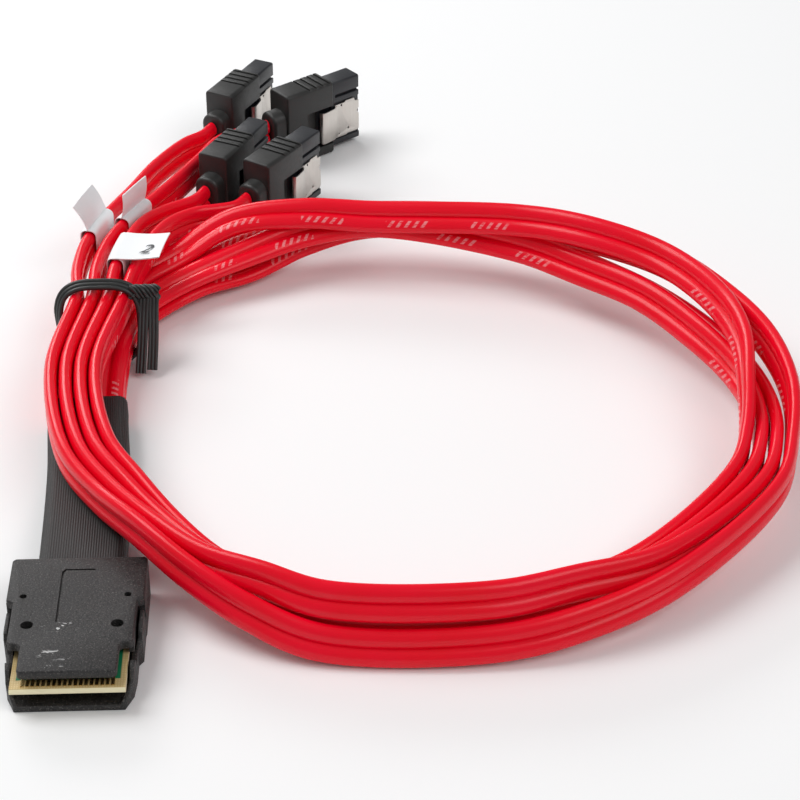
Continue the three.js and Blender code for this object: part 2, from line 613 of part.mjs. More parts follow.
function grip() {
  const body = post(GRIP.width, GRIP.thickness, GRIP.corner, 0, GRIP.length, GRIP.bevel, MIDDLE);
  const collar = post(COLLAR.width, COLLAR.thickness, COLLAR.corner, -COLLAR.length, 1, 0.3, MIDDLE);
  const pocket = block(GRIP.length - SHANK.length - FIT, GRIP.length + 1,
    -SHANK.thickness / 2 - FIT, SHANK.thickness / 2 + FIT,
    MIDDLE - SHANK.width / 2 - FIT, MIDDLE + SHANK.width / 2 + FIT);
  const window = block(GRIP.length - WINDOW.front, GRIP.length + 1,
    -GRIP.thickness, WINDOW.depth - GRIP.thickness / 2, WINDOW.low, WINDOW.high);
  const grooves = [];
  for (let i = 0; i < RIB.count; i += 1) {
    const x = GRIP.length - RIB.front - RIB.groove - i * RIB.pitch;
    grooves.push(block(x, x + RIB.groove, -GRIP.thickness, GRIP.thickness, -1, RIB.depth));
    grooves.push(block(x, x + RIB.groove, -GRIP.thickness, GRIP.thickness,
      GRIP.width - RIB.depth, GRIP.width + 1));
  }
  return shell(cut(join(body, collar), pocket, window, ...grooves));
}

function noseCarrier() {
  const nose = post(NOSE.width, NOSE.thickness, NOSE.corner, GRIP.length + THIN_FIT, NOSE_TIP, 0, MIDDLE);
  const shank = block(GRIP.length - SHANK.length, GRIP.length + 1,
    -SHANK.thickness / 2, SHANK.thickness / 2, MIDDLE - SHANK.width / 2, MIDDLE + SHANK.width / 2);
  const slotTop = MIDDLE + SLOT.width / 2;
  const slot = block(NOSE_TIP - SLOT.depth, NOSE_TIP + 1, -SLOT.thickness / 2, SLOT.thickness / 2,
    MIDDLE - SLOT.width / 2, slotTop);
  const key = block(NOSE_TIP - SLOT.depth, NOSE_TIP + 1, -SLOT.thickness / 2,
    SLOT.thickness / 2 + SLOT.keyDrop, slotTop - SLOT.key, slotTop);
  const groove = block(NOSE_TIP - NOSE_GROOVE.length, NOSE_TIP + 1, -NOSE.thickness,
    NOSE_GROOVE.depth - NOSE.thickness / 2, NOSE_GROOVE.low, NOSE_GROOVE.high);
  const seat = block(NOSE_TIP - LATCH.plateLength - FIT, NOSE_TIP + 1, -NOSE.thickness,
    LATCH.seat - NOSE.thickness / 2, LATCH.low - FIT, LATCH.high + FIT);
  return shell(cut(join(nose, shank), slot, key, groove, seat));
}

// Seven contacts on the slot's far wall, joined behind it by their carrier strip.
function contactComb() {
  const first = MIDDLE - ((CONTACT.count - 1) / 2) * CONTACT.pitch;
  const wall = SLOT.thickness / 2 - THIN_FIT;
  const rear = NOSE_TIP - SLOT.depth + THIN_FIT;
  const fingers = [];
  for (let i = 0; i < CONTACT.count; i += 1) {
    const z = first + i * CONTACT.pitch;
    fingers.push(block(rear, rear + CONTACT.length, wall - CONTACT.thickness, wall,
      z - CONTACT.width / 2, z + CONTACT.width / 2));
  }
  const reach = ((CONTACT.count - 1) / 2) * CONTACT.pitch + CONTACT.width;
  const strap = block(rear, rear + CONTACT.bar, wall - 2 * CONTACT.thickness, wall,
    MIDDLE - reach, MIDDLE + reach);
  return shell(join(strap, ...fingers));
}

// Stamped steel latch: a plate on the nose and a press tab that rises out of the grip's window.
function latch() {
  const t = LATCH.thickness;
  const face = LATCH.seat - NOSE.thickness / 2 - THIN_FIT;
  const front = NOSE_TIP - THIN_FIT;
  const bend = front - LATCH.plateLength;
  const rear = bend - PRESS_TAB.length;
  const plate = slab([[bend, face - t], [front, face - t], [front, face], [bend, face]],
    LATCH.low, LATCH.high);
  const lifted = face - PRESS_TAB.lift;
  const tab = slab([
    [bend + 0.6, face], [bend - 0.8, lifted + t], [rear + 1, lifted - 0.5 + t], [rear, lifted - PRESS_TAB.curl],
    [rear + 0.3, lifted - PRESS_TAB.curl - t], [rear + 1.2, lifted - 0.5], [bend - 0.7, lifted],
    [bend + 0.6, face - t],
  ], PRESS_TAB.low, PRESS_TAB.high);
  return shell(join(plate, tab));
}

const plugPieces = [
  ['grip', 'grip', grip()],
  ['nose', 'nose', noseCarrier()],
  ['contacts', 'gold', contactComb()],
  ['latch', 'steel', latch()],
];
SATA_PLUGS.forEach((plug) => {
  const stand = new THREE.Group();
  stand.position.set(plug.x, plug.y, 0);
  stand.rotation.z = THREE.MathUtils.degToRad(plug.heading);
  plugPieces.forEach(([piece, kind, geometry]) => {
    addPiece(`sata_${plug.label}_${piece}`, kind, geometry, stand);
  });
  group.add(stand);
});

// Paper flags: wrapped once round a cable, with the two ends stuck together as a flag.

function labelFlag({ plug, from, flag: flagLength, turn }) {
  const route = routes[plug];
  const start = nearestToY(route, from);
  const end = start + LABEL.length / route.getLength();
  const a = route.getPointAt(start);
  const b = route.getPointAt(end);
  const tangent = b.clone().sub(a).normalize();
  const middle = route.getPointAt((start + end) / 2);
  const { normal, width } = flatsAt(tangent, UPRIGHT);
  const outerThick = CABLE_THICKNESS + 2 * (LABEL.room + LABEL.paper);
  const outerWide = CABLE_WIDTH + 2 * (LABEL.room + LABEL.paper);
  const shape = shapeOf(roundedOutline(outerThick, outerWide, 1));
  shape.holes.push(shapeOf(roundedOutline(CABLE_THICKNESS + 2 * LABEL.room,
    CABLE_WIDTH + 2 * LABEL.room, 0.9)));
  const depth = a.distanceTo(b);
  const wrap = new THREE.ExtrudeGeometry(shape, { depth, bevelEnabled: false });
  const flag = new THREE.BoxGeometry(flagLength, 2 * LABEL.paper, depth);
  flag.translate(flagLength / 2 - LABEL.paper, 0, depth / 2);
  flag.rotateZ(THREE.MathUtils.degToRad(-turn));
  flag.translate(0, -outerWide / 2 + LABEL.paper, 0);
  const joined = shell(join(solid(wrap), solid(flag)));
  joined.translate(0, 0, -depth / 2);
  joined.applyMatrix4(new THREE.Matrix4().makeBasis(normal, width, tangent));
  joined.translate(...middle.toArray());
  return joined;
}

// The place on a cable's last run, past the tie, where it reaches a given Y.
function nearestToY(route, y) {
  const passes = route.getSpacedPoints(400);
  let index = passes.length - 1;
  while (passes[index].y > y) index -= 1;
  return index / (passes.length - 1);
}

LABELS.forEach((label) => {
  addPiece(`label_${SATA_PLUGS[label.plug].label}`, 'paper', labelFlag(label));
});

export default group;
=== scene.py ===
"""Internal mini SAS to four SATA breakout cable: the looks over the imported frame, in metres."""

import math

import bpy
from mathutils import Matrix, Vector


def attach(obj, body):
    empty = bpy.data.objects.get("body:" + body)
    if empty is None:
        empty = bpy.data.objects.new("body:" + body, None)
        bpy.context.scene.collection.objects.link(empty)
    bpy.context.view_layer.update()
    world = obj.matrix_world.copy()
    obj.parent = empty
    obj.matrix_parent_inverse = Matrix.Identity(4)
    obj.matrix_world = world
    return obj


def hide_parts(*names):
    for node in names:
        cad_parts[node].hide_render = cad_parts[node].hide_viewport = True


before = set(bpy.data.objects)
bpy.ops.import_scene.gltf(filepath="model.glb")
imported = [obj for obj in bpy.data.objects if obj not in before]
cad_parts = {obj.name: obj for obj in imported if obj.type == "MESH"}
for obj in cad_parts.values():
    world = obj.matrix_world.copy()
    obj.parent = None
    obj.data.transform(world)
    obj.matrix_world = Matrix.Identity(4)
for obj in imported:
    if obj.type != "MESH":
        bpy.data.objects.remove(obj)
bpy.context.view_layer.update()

MM = 0.001
FLAT = 90
UPRIGHT = 180

# Flat twin-lobe cable.
CABLE_WIDTH = 6.2
CABLE_THICKNESS = 2.3
PITCH_THIN = 2.6
PITCH_WIDE = 6.5
RETURN_PITCH = 2.9
ROW = PITCH_THIN / 2
COLUMN = PITCH_WIDE / 2
COLLAR_APPROACH = 4
FIT = 0.3

# SATA plugs: tail face on the floor and heading in degrees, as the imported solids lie.
GRIP_LENGTH = 12
GRIP_WIDTH = 16.6
COLLAR_LENGTH = 3
SATA_PLUGS = [
    {"label": "1", "strand": "R", "x": 17.9, "y": 158.8, "heading": 62},
    {"label": "2", "strand": "Q", "x": 17.4, "y": 131.5, "heading": 63},
    {"label": "3", "strand": "S", "x": 30.4, "y": 158.6, "heading": 37.5},
    {"label": "4", "strand": "P", "x": 26.1, "y": 128.2, "heading": 56},
]

# The route of the four cables: the bundle's middle, how far the flats lean, and where each cable
# lies across the bundle, first along the flats' normal and then along their width.
SLEEVED = {"P": (ROW, -COLUMN), "Q": (ROW, COLUMN), "R": (-ROW, -COLUMN), "S": (-ROW, COLUMN)}
IN_LINE = {"P": (3 * ROW, 0), "Q": (ROW, 0), "S": (-ROW, 0), "R": (-3 * ROW, 0)}
UNDER_TIE = {
    "P": (1.5 * RETURN_PITCH, 0), "Q": (RETURN_PITCH / 2, 0),
    "S": (-RETURN_PITCH / 2, 0), "R": (-1.5 * RETURN_PITCH, 0),
}
STATIONS = [
    ((0, 9.3, 3.75), FLAT, SLEEVED),
    ((0, 14.3, 3.75), FLAT, SLEEVED),
    ((-0.9, 40, 3.6), FLAT, SLEEVED),
    ((-2.6, 61, 3.6), FLAT, SLEEVED),
    ((-2.7, 73, 3.9), FLAT, SLEEVED),
    ((-2, 84, 4), FLAT, SLEEVED),
    ((0.8, 93.5, 3.9), 92, {"P": (1.35, -3.35), "Q": (1.3, 3.35), "R": (-1.3, -3.35), "S": (-1.35, 3.35)}),
    ((6.2, 101, 4), 93, {"P": (1.4, -3.35), "Q": (1.3, 3.35), "R": (-1.3, -3.35), "S": (-1.4, 3.35)}),
    ((13.2, 106.6, 5), 98, {"P": (1.5, -3.3), "Q": (1.3, 3.3), "R": (-1.3, -3.3), "S": (-1.5, 3.3)}),
    ((23, 111.2, 7.6), 112, {"P": (3.6, -3.3), "Q": (1.35, 3.2), "R": (-1.35, -3.2), "S": (-3.8, 3.2)}),
    ((35, 114, 9.6), 130, {"P": (4.1, -1.6), "Q": (1.37, 1.4), "R": (-1.37, -1.8), "S": (-4.1, 1.2)}),
    ((49, 114, 11), 142, {"P": (4.1, -0.2), "Q": (1.37, 0.4), "R": (-1.37, -1), "S": (-4.1, -0.3)}),
    ((77, 107.8, 11.5), 145, {"P": (4.1, -1.8), "Q": (1.37, 2.8), "R": (-1.37, -2), "S": (-4.1, 1.4)}),
    ((89.6, 100, 11.5), 144, {"P": (3.8, -3.2), "Q": (1.37, 3.8), "R": (-1.37, -2.8), "S": (-4.1, 3.2)}),
    ((101, 90, 11.5), 144, {"P": (1.7, -3.7), "Q": (1.37, 4), "R": (-1.37, -3.4), "S": (-1.6, 4)}),
    ((109, 77.8, 11), 150, {"P": (1.6, -3.7), "Q": (1.37, 4), "R": (-1.6, -3.5), "S": (-1.37, 3.8)}),
    ((113.8, 65.4, 10.4), 160, {"P": (2.7, -3.4), "Q": (1.3, 3.4), "R": (-2.7, -3.4), "S": (-1.3, 3.4)}),
    ((115.2, 52, 9.8), 170, {"P": (3.9, -2.3), "Q": (1.3, 2.1), "R": (-3.9, -2.3), "S": (-1.3, 2.1)}),
    ((113.9, 40, 9), 177, {"P": (3.9, -0.6), "Q": (1.3, 0.4), "R": (-3.9, -0.6), "S": (-1.3, 0.4)}),
    ((110, 29, 8.2), UPRIGHT, {"P": (4.1, 0), "Q": (1.37, 0), "S": (-1.37, 0), "R": (-4.1, 0)}),
    ((91.8, 9.4, 6.6), 190, {"P": (4.1, 0.2), "Q": (1.37, -0.3), "S": (-1.37, -1.8), "R": (-4.1, 0.6)}),
    ((77.8, 2.2, 6.2), 198, {"P": (4.1, 0.3), "Q": (1.37, -0.6), "S": (-1.37, -3.3), "R": (-4, 2.2)}),
    ((64.5, -1.8, 6), 204, {"P": (4.1, 0.4), "Q": (1.37, -0.9), "S": (-1.37, -3.4), "R": (-1.8, 3.4)}),
    ((38.5, -0.8, 6.1), 203, {"P": (4.1, 0.4), "Q": (1.37, -0.8), "S": (-1.37, -3.4), "R": (-1.7, 3.4)}),
    ((28.6, 4, 7.3), 196, {"P": (3.9, 1.2), "Q": (1.3, -0.4), "S": (-1.3, -3.2), "R": (-3.9, 1.6)}),
    ((19.8, 10, 9), 190, {"P": (3.9, 2.2), "Q": (1.3, 0.4), "S": (-1.3, -1.2), "R": (-3.9, 0.2)}),
    ((12, 18.4, 10), 184, {"P": (3.9, 2), "Q": (1.3, 0.6), "S": (-1.3, -0.6), "R": (-3.9, -0.9)}),
    ((5, 28.4, 10.3), UPRIGHT, {"P": (3.9, 0.6), "Q": (1.3, 0), "S": (-1.3, 0), "R": (-3.9, 0)}),
    ((-0.8, 39.4, 10.3), UPRIGHT, IN_LINE),
    ((-4.8, 63, 10.3), UPRIGHT, IN_LINE),
    ((-1.8, 86, 10.3), UPRIGHT, UNDER_TIE),
]
LEGS = {
    "R": [(-6.7, 95, 10.3), (-5.9, 105, 10.3), (-3.2, 115, 10), (1.2, 126.5, 9.5), (5.6, 138.8, 8.9),
          (11.2, 149.2, 8.4)],
    "Q": [(0.5, 96, 10.9), (2.6, 106.5, 10.9), (5, 114.2, 10), (8.9, 120.2, 8.9)],
    "S": [(-3.2, 96, 10.3), (-1.4, 107, 10), (2.2, 116.6, 9.5), (9, 131, 8.6),
          (14.2, 142.2, 8.3), (17.4, 149.2, 8.3), (20.6, 152.4, 8.3)],
    "P": [(4, 96, 10.3), (6.4, 106, 10.2), (9.5, 113.6, 9.6), (14.4, 119, 8.8)],
}

# Sleeve, tie and paper flags.
SLEEVE_RANGE = (1, 3)
SLEEVE_WALL = 0.35
SLEEVE_FIT = 0.25
SLEEVE_RIBS = 92
TIE = {"x": -1.8, "y": 83.6, "z": 7.475, "width": 13.8, "tall": 13.47, "lean": 16}
TIE_THICKNESS = 0.9
TIE_SQUARENESS = 3.3
KNOT_ANGLE = 48
STRIP_LEAN = 38
LABELS = [
    {"plug": 0, "from": 107, "flag": 5.5, "turn": 118},
    {"plug": 1, "from": 95.5, "flag": 8.5, "turn": 6},
    {"plug": 2, "from": 112.5, "flag": 5, "turn": 85},
]
LABEL_LENGTH = 9.5
NUMBER_SIZE = 4.2


# Camera, and the routes of the four cords.

PHOTO_WIDTH = 800
FOCAL_PIXELS = 2317
SENSOR_WIDTH = 36


def place_camera():
    data = bpy.data.cameras.new("camera")
    data.sensor_width = SENSOR_WIDTH
    data.lens = SENSOR_WIDTH * FOCAL_PIXELS / PHOTO_WIDTH
    data.clip_start = 0.01
    camera = bpy.data.objects.new("camera", data)
    bpy.context.scene.collection.objects.link(camera)
    camera.location = (0.04051, -0.27838, 0.23374)
    aim = Vector((0.0526, 0.06791, 0))
    camera.rotation_euler = (aim - camera.location).to_track_quat("-Z", "Y").to_euler()
    bpy.context.scene.camera = camera


def flats_at(tangent, lean):
    """The normal of the cable's flats and the direction of its width at one lean."""
    left = Vector((-tangent.y, tangent.x, 0)).normalized()
    rise = tangent.cross(left)
    angle = math.radians(lean)
    normal = left * math.cos(angle) + rise * math.sin(angle)
    return normal, tangent.cross(normal)


def between(values, place):
    """A uniform spline through numbers, one for each control point."""
    index = min(int(place), len(values) - 2)
    t = place - index
    a, b, c, d = (values[max(0, min(k, len(values) - 1))] for k in range(index - 1, index + 3))
    v0 = (c - a) / 2
    v1 = (d - b) / 2
    return (2 * b - 2 * c + v0 + v1) * t ** 3 + (3 * c - 3 * b - 2 * v0 - v1) * t ** 2 + v0 * t + b


class Route:
    """A centripetal spline through points in millimetres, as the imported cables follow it."""

    def __init__(self, points, leans):
        self.points = [Vector(p) for p in points]
        self.leans = leans
        self.count = len(self.points) - 1
        places = [self.count * k / 6000 for k in range(6001)]
        spots = [self.at(p) for p in places]
        runs = [0.0]
        for a, b in zip(spots, spots[1:]):
            runs.append(runs[-1] + (b - a).length)
        self.places = places
        self.runs = runs
        self.length = runs[-1]

    def at(self, place):
        index = min(int(place), self.count - 1)
        t = place - index
        b = self.points[index]
        c = self.points[index + 1]
        a = self.points[index - 1] if index > 0 else 2 * b - c
        d = self.points[index + 2] if index + 2 <= self.count else 2 * c - b
        s0 = math.sqrt((b - a).length)
        s1 = math.sqrt((c - b).length)
        s2 = math.sqrt((d - c).length)
        m0 = ((b - a) / s0 - (c - a) / (s0 + s1) + (c - b) / s1) * s1
        m1 = ((c - b) / s1 - (d - b) / (s1 + s2) + (d - c) / s2) * s1
        return (2 * b - 2 * c + m0 + m1) * t ** 3 + (3 * c - 3 * b - 2 * m0 - m1) * t ** 2 + m0 * t + b

    def tangent(self, place):
        a = max(0, place - 0.004)
        b = min(self.count, place + 0.004)
        return (self.at(b) - self.at(a)).normalized()

    def place_after(self, run):
        low = 0
        high = len(self.runs) - 1
        while high - low > 1:
            middle = (low + high) // 2
            if self.runs[middle] < run:
                low = middle
            else:
                high = middle
        share = (run - self.runs[low]) / max(1e-9, self.runs[high] - self.runs[low])
        return self.places[low] + share * (self.places[high] - self.places[low])

    def frames(self, start, end, step):
        """Evenly spaced (point, normal, width, run) from one length along the route to another."""
        steps = max(2, round((end - start) / step))
        result = []
        for k in range(steps + 1):
            run = start + (end - start) * k / steps
            place = self.place_after(run)
            normal, width = flats_at(self.tangent(place), between(self.leans, place))
            result.append((self.at(place), normal, width, run))
        return result

    def run_at_y(self, y):
        """The length along the route where its last run reaches a given Y."""
        index = len(self.places) - 1
        while self.at(self.places[index]).y > y:
            index -= 1
        return self.runs[index]


middle_line = Route([at for at, _, _ in STATIONS], [lean for _, lean, _ in STATIONS])


def strand_route(plug):
    points = []
    for index, (at, lean, spread) in enumerate(STATIONS):
        normal, width = flats_at(middle_line.tangent(index), lean)
        across, along = spread[plug["strand"]]
        points.append(Vector(at) + normal * across + width * along)
    points += [Vector(p) for p in LEGS[plug["strand"]]]
    angle = math.radians(plug["heading"])
    heading = Vector((math.cos(angle), math.sin(angle), 0))
    tail = Vector((plug["x"], plug["y"], GRIP_WIDTH / 2))
    points.append(tail - heading * (COLLAR_LENGTH + FIT + COLLAR_APPROACH))
    points.append(tail - heading * (COLLAR_LENGTH + FIT))
    leans = [STATIONS[i][1] if i < len(STATIONS) else UPRIGHT for i in range(len(points))]
    return Route(points, leans)


def swept(name, frames, section, hole=None):
    """A mesh tube of one section along frames, with u in metres along it and v round it."""
    rings = [section] if hole is None else [section, hole]
    corners = []
    for point, normal, width, _ in frames:
        for ring in rings:
            corners += [(point + normal * x + width * y) * MM for x, y in ring]
    stride = sum(len(ring) for ring in rings)
    faces = []
    places = []
    for row in range(len(frames) - 1):
        start = 0
        for number, ring in enumerate(rings):
            count = len(ring)
            for k in range(count):
                a = row * stride + start + k
                b = row * stride + start + (k + 1) % count
                quad = (a, b, b + stride, a + stride)
                u0 = frames[row][3] * MM
                u1 = frames[row + 1][3] * MM
                uv = ((u0, k / count), (u0, (k + 1) / count), (u1, (k + 1) / count), (u1, k / count))
                faces.append(quad if number == 0 else quad[::-1])
                places.append(uv if number == 0 else uv[::-1])
            start += count
    last = (len(frames) - 1) * stride
    count = len(section)
    if hole is None:
        for face, run in ((tuple(range(count))[::-1], frames[0][3]),
                          (tuple(last + k for k in range(count)), frames[-1][3])):
            faces.append(face)
            places.append([(run * MM, 0)] * count)
    else:
        for base, flip in ((0, True), (last, False)):
            for k in range(count):
                a = base + k
                b = base + (k + 1) % count
                quad = (a, b, b + count, a + count)
                faces.append(quad[::-1] if flip else quad)
                places.append([(frames[0][3] * MM, 0)] * 4)
    mesh = bpy.data.meshes.new(name)
    mesh.from_pydata(corners, [], faces)
    layer = mesh.uv_layers.new(name="along")
    flat = [value for place in places for pair in place for value in pair]
    layer.data.foreach_set("uv", flat)
    mesh.update()
    piece = bpy.data.objects.new(name, mesh)
    bpy.context.scene.collection.objects.link(piece)
    return piece


def lobes(width, thickness, arc=15):
    """The outline of a flat twin cable: two ovals side by side that meet in a narrow groove."""
    reach = width * 0.26
    centre = width / 2 - reach
    groove = math.asin(centre / reach)
    points = []
    for side in (1, -1):
        for k in range(arc):
            angle = -groove + (math.pi + 2 * groove) * k / arc
            height = side * thickness / 2 * math.cos(angle)
            points.append((height, side * (centre + reach * math.sin(angle))))
    return points


def evened(outline, count):
    """A closed outline again, as that many points an even distance apart."""
    closed = outline + outline[:1]
    runs = [0.0]
    for a, b in zip(closed, closed[1:]):
        runs.append(runs[-1] + math.dist(a, b))
    points = []
    index = 0
    for k in range(count):
        run = runs[-1] * k / count
        while runs[index + 1] < run:
            index += 1
        share = (run - runs[index]) / (runs[index + 1] - runs[index])
        (x0, y0), (x1, y1) = closed[index:index + 2]
        points.append((x0 + (x1 - x0) * share, y0 + (y1 - y0) * share))
    return points


def rounded(width, height, radius, corners=5):
    """A rectangle with round corners, counter-clockwise."""
    points = []
    for side in range(4):
        cx = (1 if side in (0, 3) else -1) * (width / 2 - radius)
        cy = (1 if side < 2 else -1) * (height / 2 - radius)
        for step in range(corners + 1):
            angle = (side + step / corners) * math.pi / 2
            points.append((cx + radius * math.cos(angle), cy + radius * math.sin(angle)))
    return points


# Hand tools.

def deselect():
    if bpy.context.mode != "OBJECT":
        bpy.ops.object.mode_set(mode="OBJECT")
    bpy.ops.object.select_all(action="DESELECT")


def pick(*pieces):
    deselect()
    for piece in pieces:
        piece.select_set(True)
    bpy.context.view_layer.objects.active = pieces[0]


def smooth(piece, angle=40):
    pick(piece)
    bpy.ops.object.shade_smooth_by_angle(angle=math.radians(angle))
    return piece


def plate(name, outline, low, high):
    """An outline in X and Y raised from one height to another, in millimetres."""
    deselect()
    bpy.ops.mesh.primitive_circle_add(vertices=len(outline), radius=0.01, fill_type="NGON")
    piece = bpy.context.object
    piece.name = name
    for corner, (x, y) in zip(piece.data.vertices, outline):
        corner.co = (x * MM, y * MM, low * MM)
    bpy.ops.object.mode_set(mode="EDIT")
    bpy.ops.mesh.select_all(action="SELECT")
    bpy.ops.mesh.extrude_region_move(TRANSFORM_OT_translate={"value": (0, 0, (high - low) * MM)})
    bpy.ops.mesh.select_all(action="SELECT")
    bpy.ops.mesh.normals_make_consistent(inside=False)
    bpy.ops.object.mode_set(mode="OBJECT")
    return piece


def brick(x0, x1, y0, y1, z0, z1):
    return plate("cutter", [(x0, y0), (x1, y0), (x1, y1), (x0, y1)], z0, z1)


ALONG_X = Matrix(((0, 0, 1, 0), (1, 0, 0, 0), (0, 1, 0, 0), (0, 0, 0, 1)))


def post(name, outline, x0, x1):
    """An outline in Y and Z pushed along X, in millimetres."""
    piece = plate(name, outline, x0, x1)
    piece.data.transform(ALONG_X)
    return piece


def applied(piece, kind, **settings):
    """Adds one modifier with its settings and applies it."""
    pick(piece)
    modifier = piece.modifiers.new(kind.lower(), kind)
    for key, value in settings.items():
        setattr(modifier, key, value)
    bpy.ops.object.modifier_apply(modifier=modifier.name)
    return piece


def carve(piece, *cutters, operation="DIFFERENCE"):
    for cutter in cutters:
        applied(piece, "BOOLEAN", operation=operation, solver="EXACT", object=cutter)
        bpy.data.objects.remove(cutter)
    return piece


def weld(piece, *others):
    return carve(piece, *others, operation="UNION")


def clean(piece):
    """Merges doubles and the flat leftovers of cutting."""
    pick(piece)
    bpy.ops.object.mode_set(mode="EDIT")
    bpy.ops.mesh.select_all(action="SELECT")
    bpy.ops.mesh.remove_doubles(threshold=1e-6)
    bpy.ops.mesh.dissolve_limited(angle_limit=math.radians(1))
    bpy.ops.object.mode_set(mode="OBJECT")
    return piece


def eased(piece, width, segments=2, angle=40):
    """Rounds every edge sharper than an angle by a width in millimetres."""
    return applied(piece, "BEVEL", width=width * MM, segments=segments, limit_method="ANGLE",
                   angle_limit=math.radians(angle), use_clamp_overlap=True)


def pin(x, y, radius, z0, z1, sides):
    angles = [2 * math.pi * k / sides for k in range(sides)]
    ring = [(x + radius * math.cos(angle), y + radius * math.sin(angle)) for angle in angles]
    return plate("cutter", ring, z0, z1)


def mirrored(half):
    return half + [(-x, y) for x, y in reversed(half)]


def copied(piece, name, matrix):
    """A copy with its own mesh, set in its place."""
    mesh = piece.data.copy()
    mesh.transform(matrix)
    copy = bpy.data.objects.new(name, mesh)
    bpy.context.scene.collection.objects.link(copy)
    return copy


def merged(first, *others):
    pick(first, *others)
    bpy.ops.object.join()
    return first


def ride(piece, *nodes, slot):
    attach(piece, "root")
    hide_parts(*nodes)
    return piece


# Shader maths and finishes.

class Value:
    """A shader socket that Python's operators join with Math nodes."""

    def __init__(self, finish, socket):
        self.finish = finish
        self.socket = socket

    def math(self, operation, *others):
        inputs = {0: self}
        inputs.update({k + 1: other for k, other in enumerate(others)})
        return self.finish.node("Math", {"operation": operation}, inputs)

    def __add__(self, other):
        return self.math("ADD", other)

    __radd__ = __add__

    def __mul__(self, other):
        return self.math("MULTIPLY", other)

    __rmul__ = __mul__

    def __sub__(self, other):
        return self.math("SUBTRACT", other)

    def __rsub__(self, other):
        return self * -1 + other

    def __pow__(self, other):
        return self.math("POWER", other)

    def above(self, limit, soft):
        """0 below a limit and 1 above it, with a soft edge."""
        return self.finish.node("Map Range", {"interpolation_type": "SMOOTHSTEP"}, {
            "Value": self, "From Min": limit - soft, "From Max": limit + soft,
            "To Min": 0, "To Max": 1})

    def below(self, limit, soft):
        return 1 - self.above(limit, soft)

    def size(self):
        return self.math("ABSOLUTE")

    def wave(self, period):
        """0 to 1 and back, once in each period."""
        turned = self * (2 * math.pi / period)
        return turned.math("SINE") * 0.5 + 0.5


NODE_KINDS = {
    "Math": "ShaderNodeMath", "Map Range": "ShaderNodeMapRange", "Noise": "ShaderNodeTexNoise",
    "Split": "ShaderNodeSeparateXYZ", "Place": "ShaderNodeMapping", "Coordinates": "ShaderNodeTexCoord",
    "UV": "ShaderNodeUVMap", "Mix": "ShaderNodeMix", "Bump": "ShaderNodeBump",
    "Light Path": "ShaderNodeLightPath",
}
COAT_ROUGHNESS = 0.1


class Finish:
    """One procedural material."""

    def __init__(self, name, colour, roughness, metallic=0.0, coat=0.0, specular=0.5):
        self.material = bpy.data.materials.new(name)
        self.material.use_nodes = True
        self.tree = self.material.node_tree
        self.tree.nodes.clear()
        output = self.tree.nodes.new("ShaderNodeOutputMaterial")
        self.shader = self.tree.nodes.new("ShaderNodeBsdfPrincipled")
        self.tree.links.new(self.shader.outputs[0], output.inputs[0])
        self.shader.inputs["Coat Roughness"].default_value = COAT_ROUGHNESS
        self.shader.inputs["Specular IOR Level"].default_value = specular
        self.feed("Base Color", colour)
        self.feed("Roughness", roughness)
        self.feed("Metallic", metallic)
        self.feed("Coat Weight", coat)

    def node(self, kind, settings=None, inputs=None, output=0):
        node = self.tree.nodes.new(NODE_KINDS[kind])
        for key, value in (settings or {}).items():
            setattr(node, key, value)
        for key, value in (inputs or {}).items():
            self.join(node.inputs[key], value)
        return Value(self, node.outputs[output])

    def join(self, socket, value):
        if isinstance(value, Value):
            self.tree.links.new(value.socket, socket)
        elif isinstance(value, (tuple, list)) and len(value) == 3 and socket.type == "RGBA":
            socket.default_value = (*value, 1)
        else:
            socket.default_value = value

    def feed(self, name, value):
        self.join(self.shader.inputs[name], value)

    def place(self, scale=(1, 1, 1), turn=(0, 0, 0), at=(0, 0, 0)):
        spot = self.node("Coordinates", output="Object")
        return self.node("Place", {}, {
            "Vector": spot, "Scale": scale, "Rotation": turn, "Location": at})

    def along(self, scale=(1, 1, 1)):
        return self.node("Place", {}, {"Vector": self.node("UV", {"uv_map": "along"}), "Scale": scale})

    def split(self, vector):
        split = self.tree.nodes.new(NODE_KINDS["Split"])
        self.join(split.inputs[0], vector)
        return [Value(self, socket) for socket in split.outputs]

    def noise(self, vector, scale, detail=2.0, roughness=0.5, distortion=0.0):
        return self.node("Noise", {}, {"Vector": vector, "Scale": scale, "Detail": detail,
                                       "Roughness": roughness, "Distortion": distortion})

    def mix(self, share, first, second):
        mixed = self.tree.nodes.new(NODE_KINDS["Mix"])
        mixed.data_type = "RGBA"
        self.join(mixed.inputs[0], share)
        self.join(mixed.inputs[6], first)
        self.join(mixed.inputs[7], second)
        return Value(self, mixed.outputs[2])

    def bump(self, height, depth, strength=1.0):
        """Height from 0 to 1 over a depth in millimetres."""
        self.feed("Normal", self.node("Bump", {}, {"Height": height, "Distance": depth * MM,
                                                   "Strength": strength}))


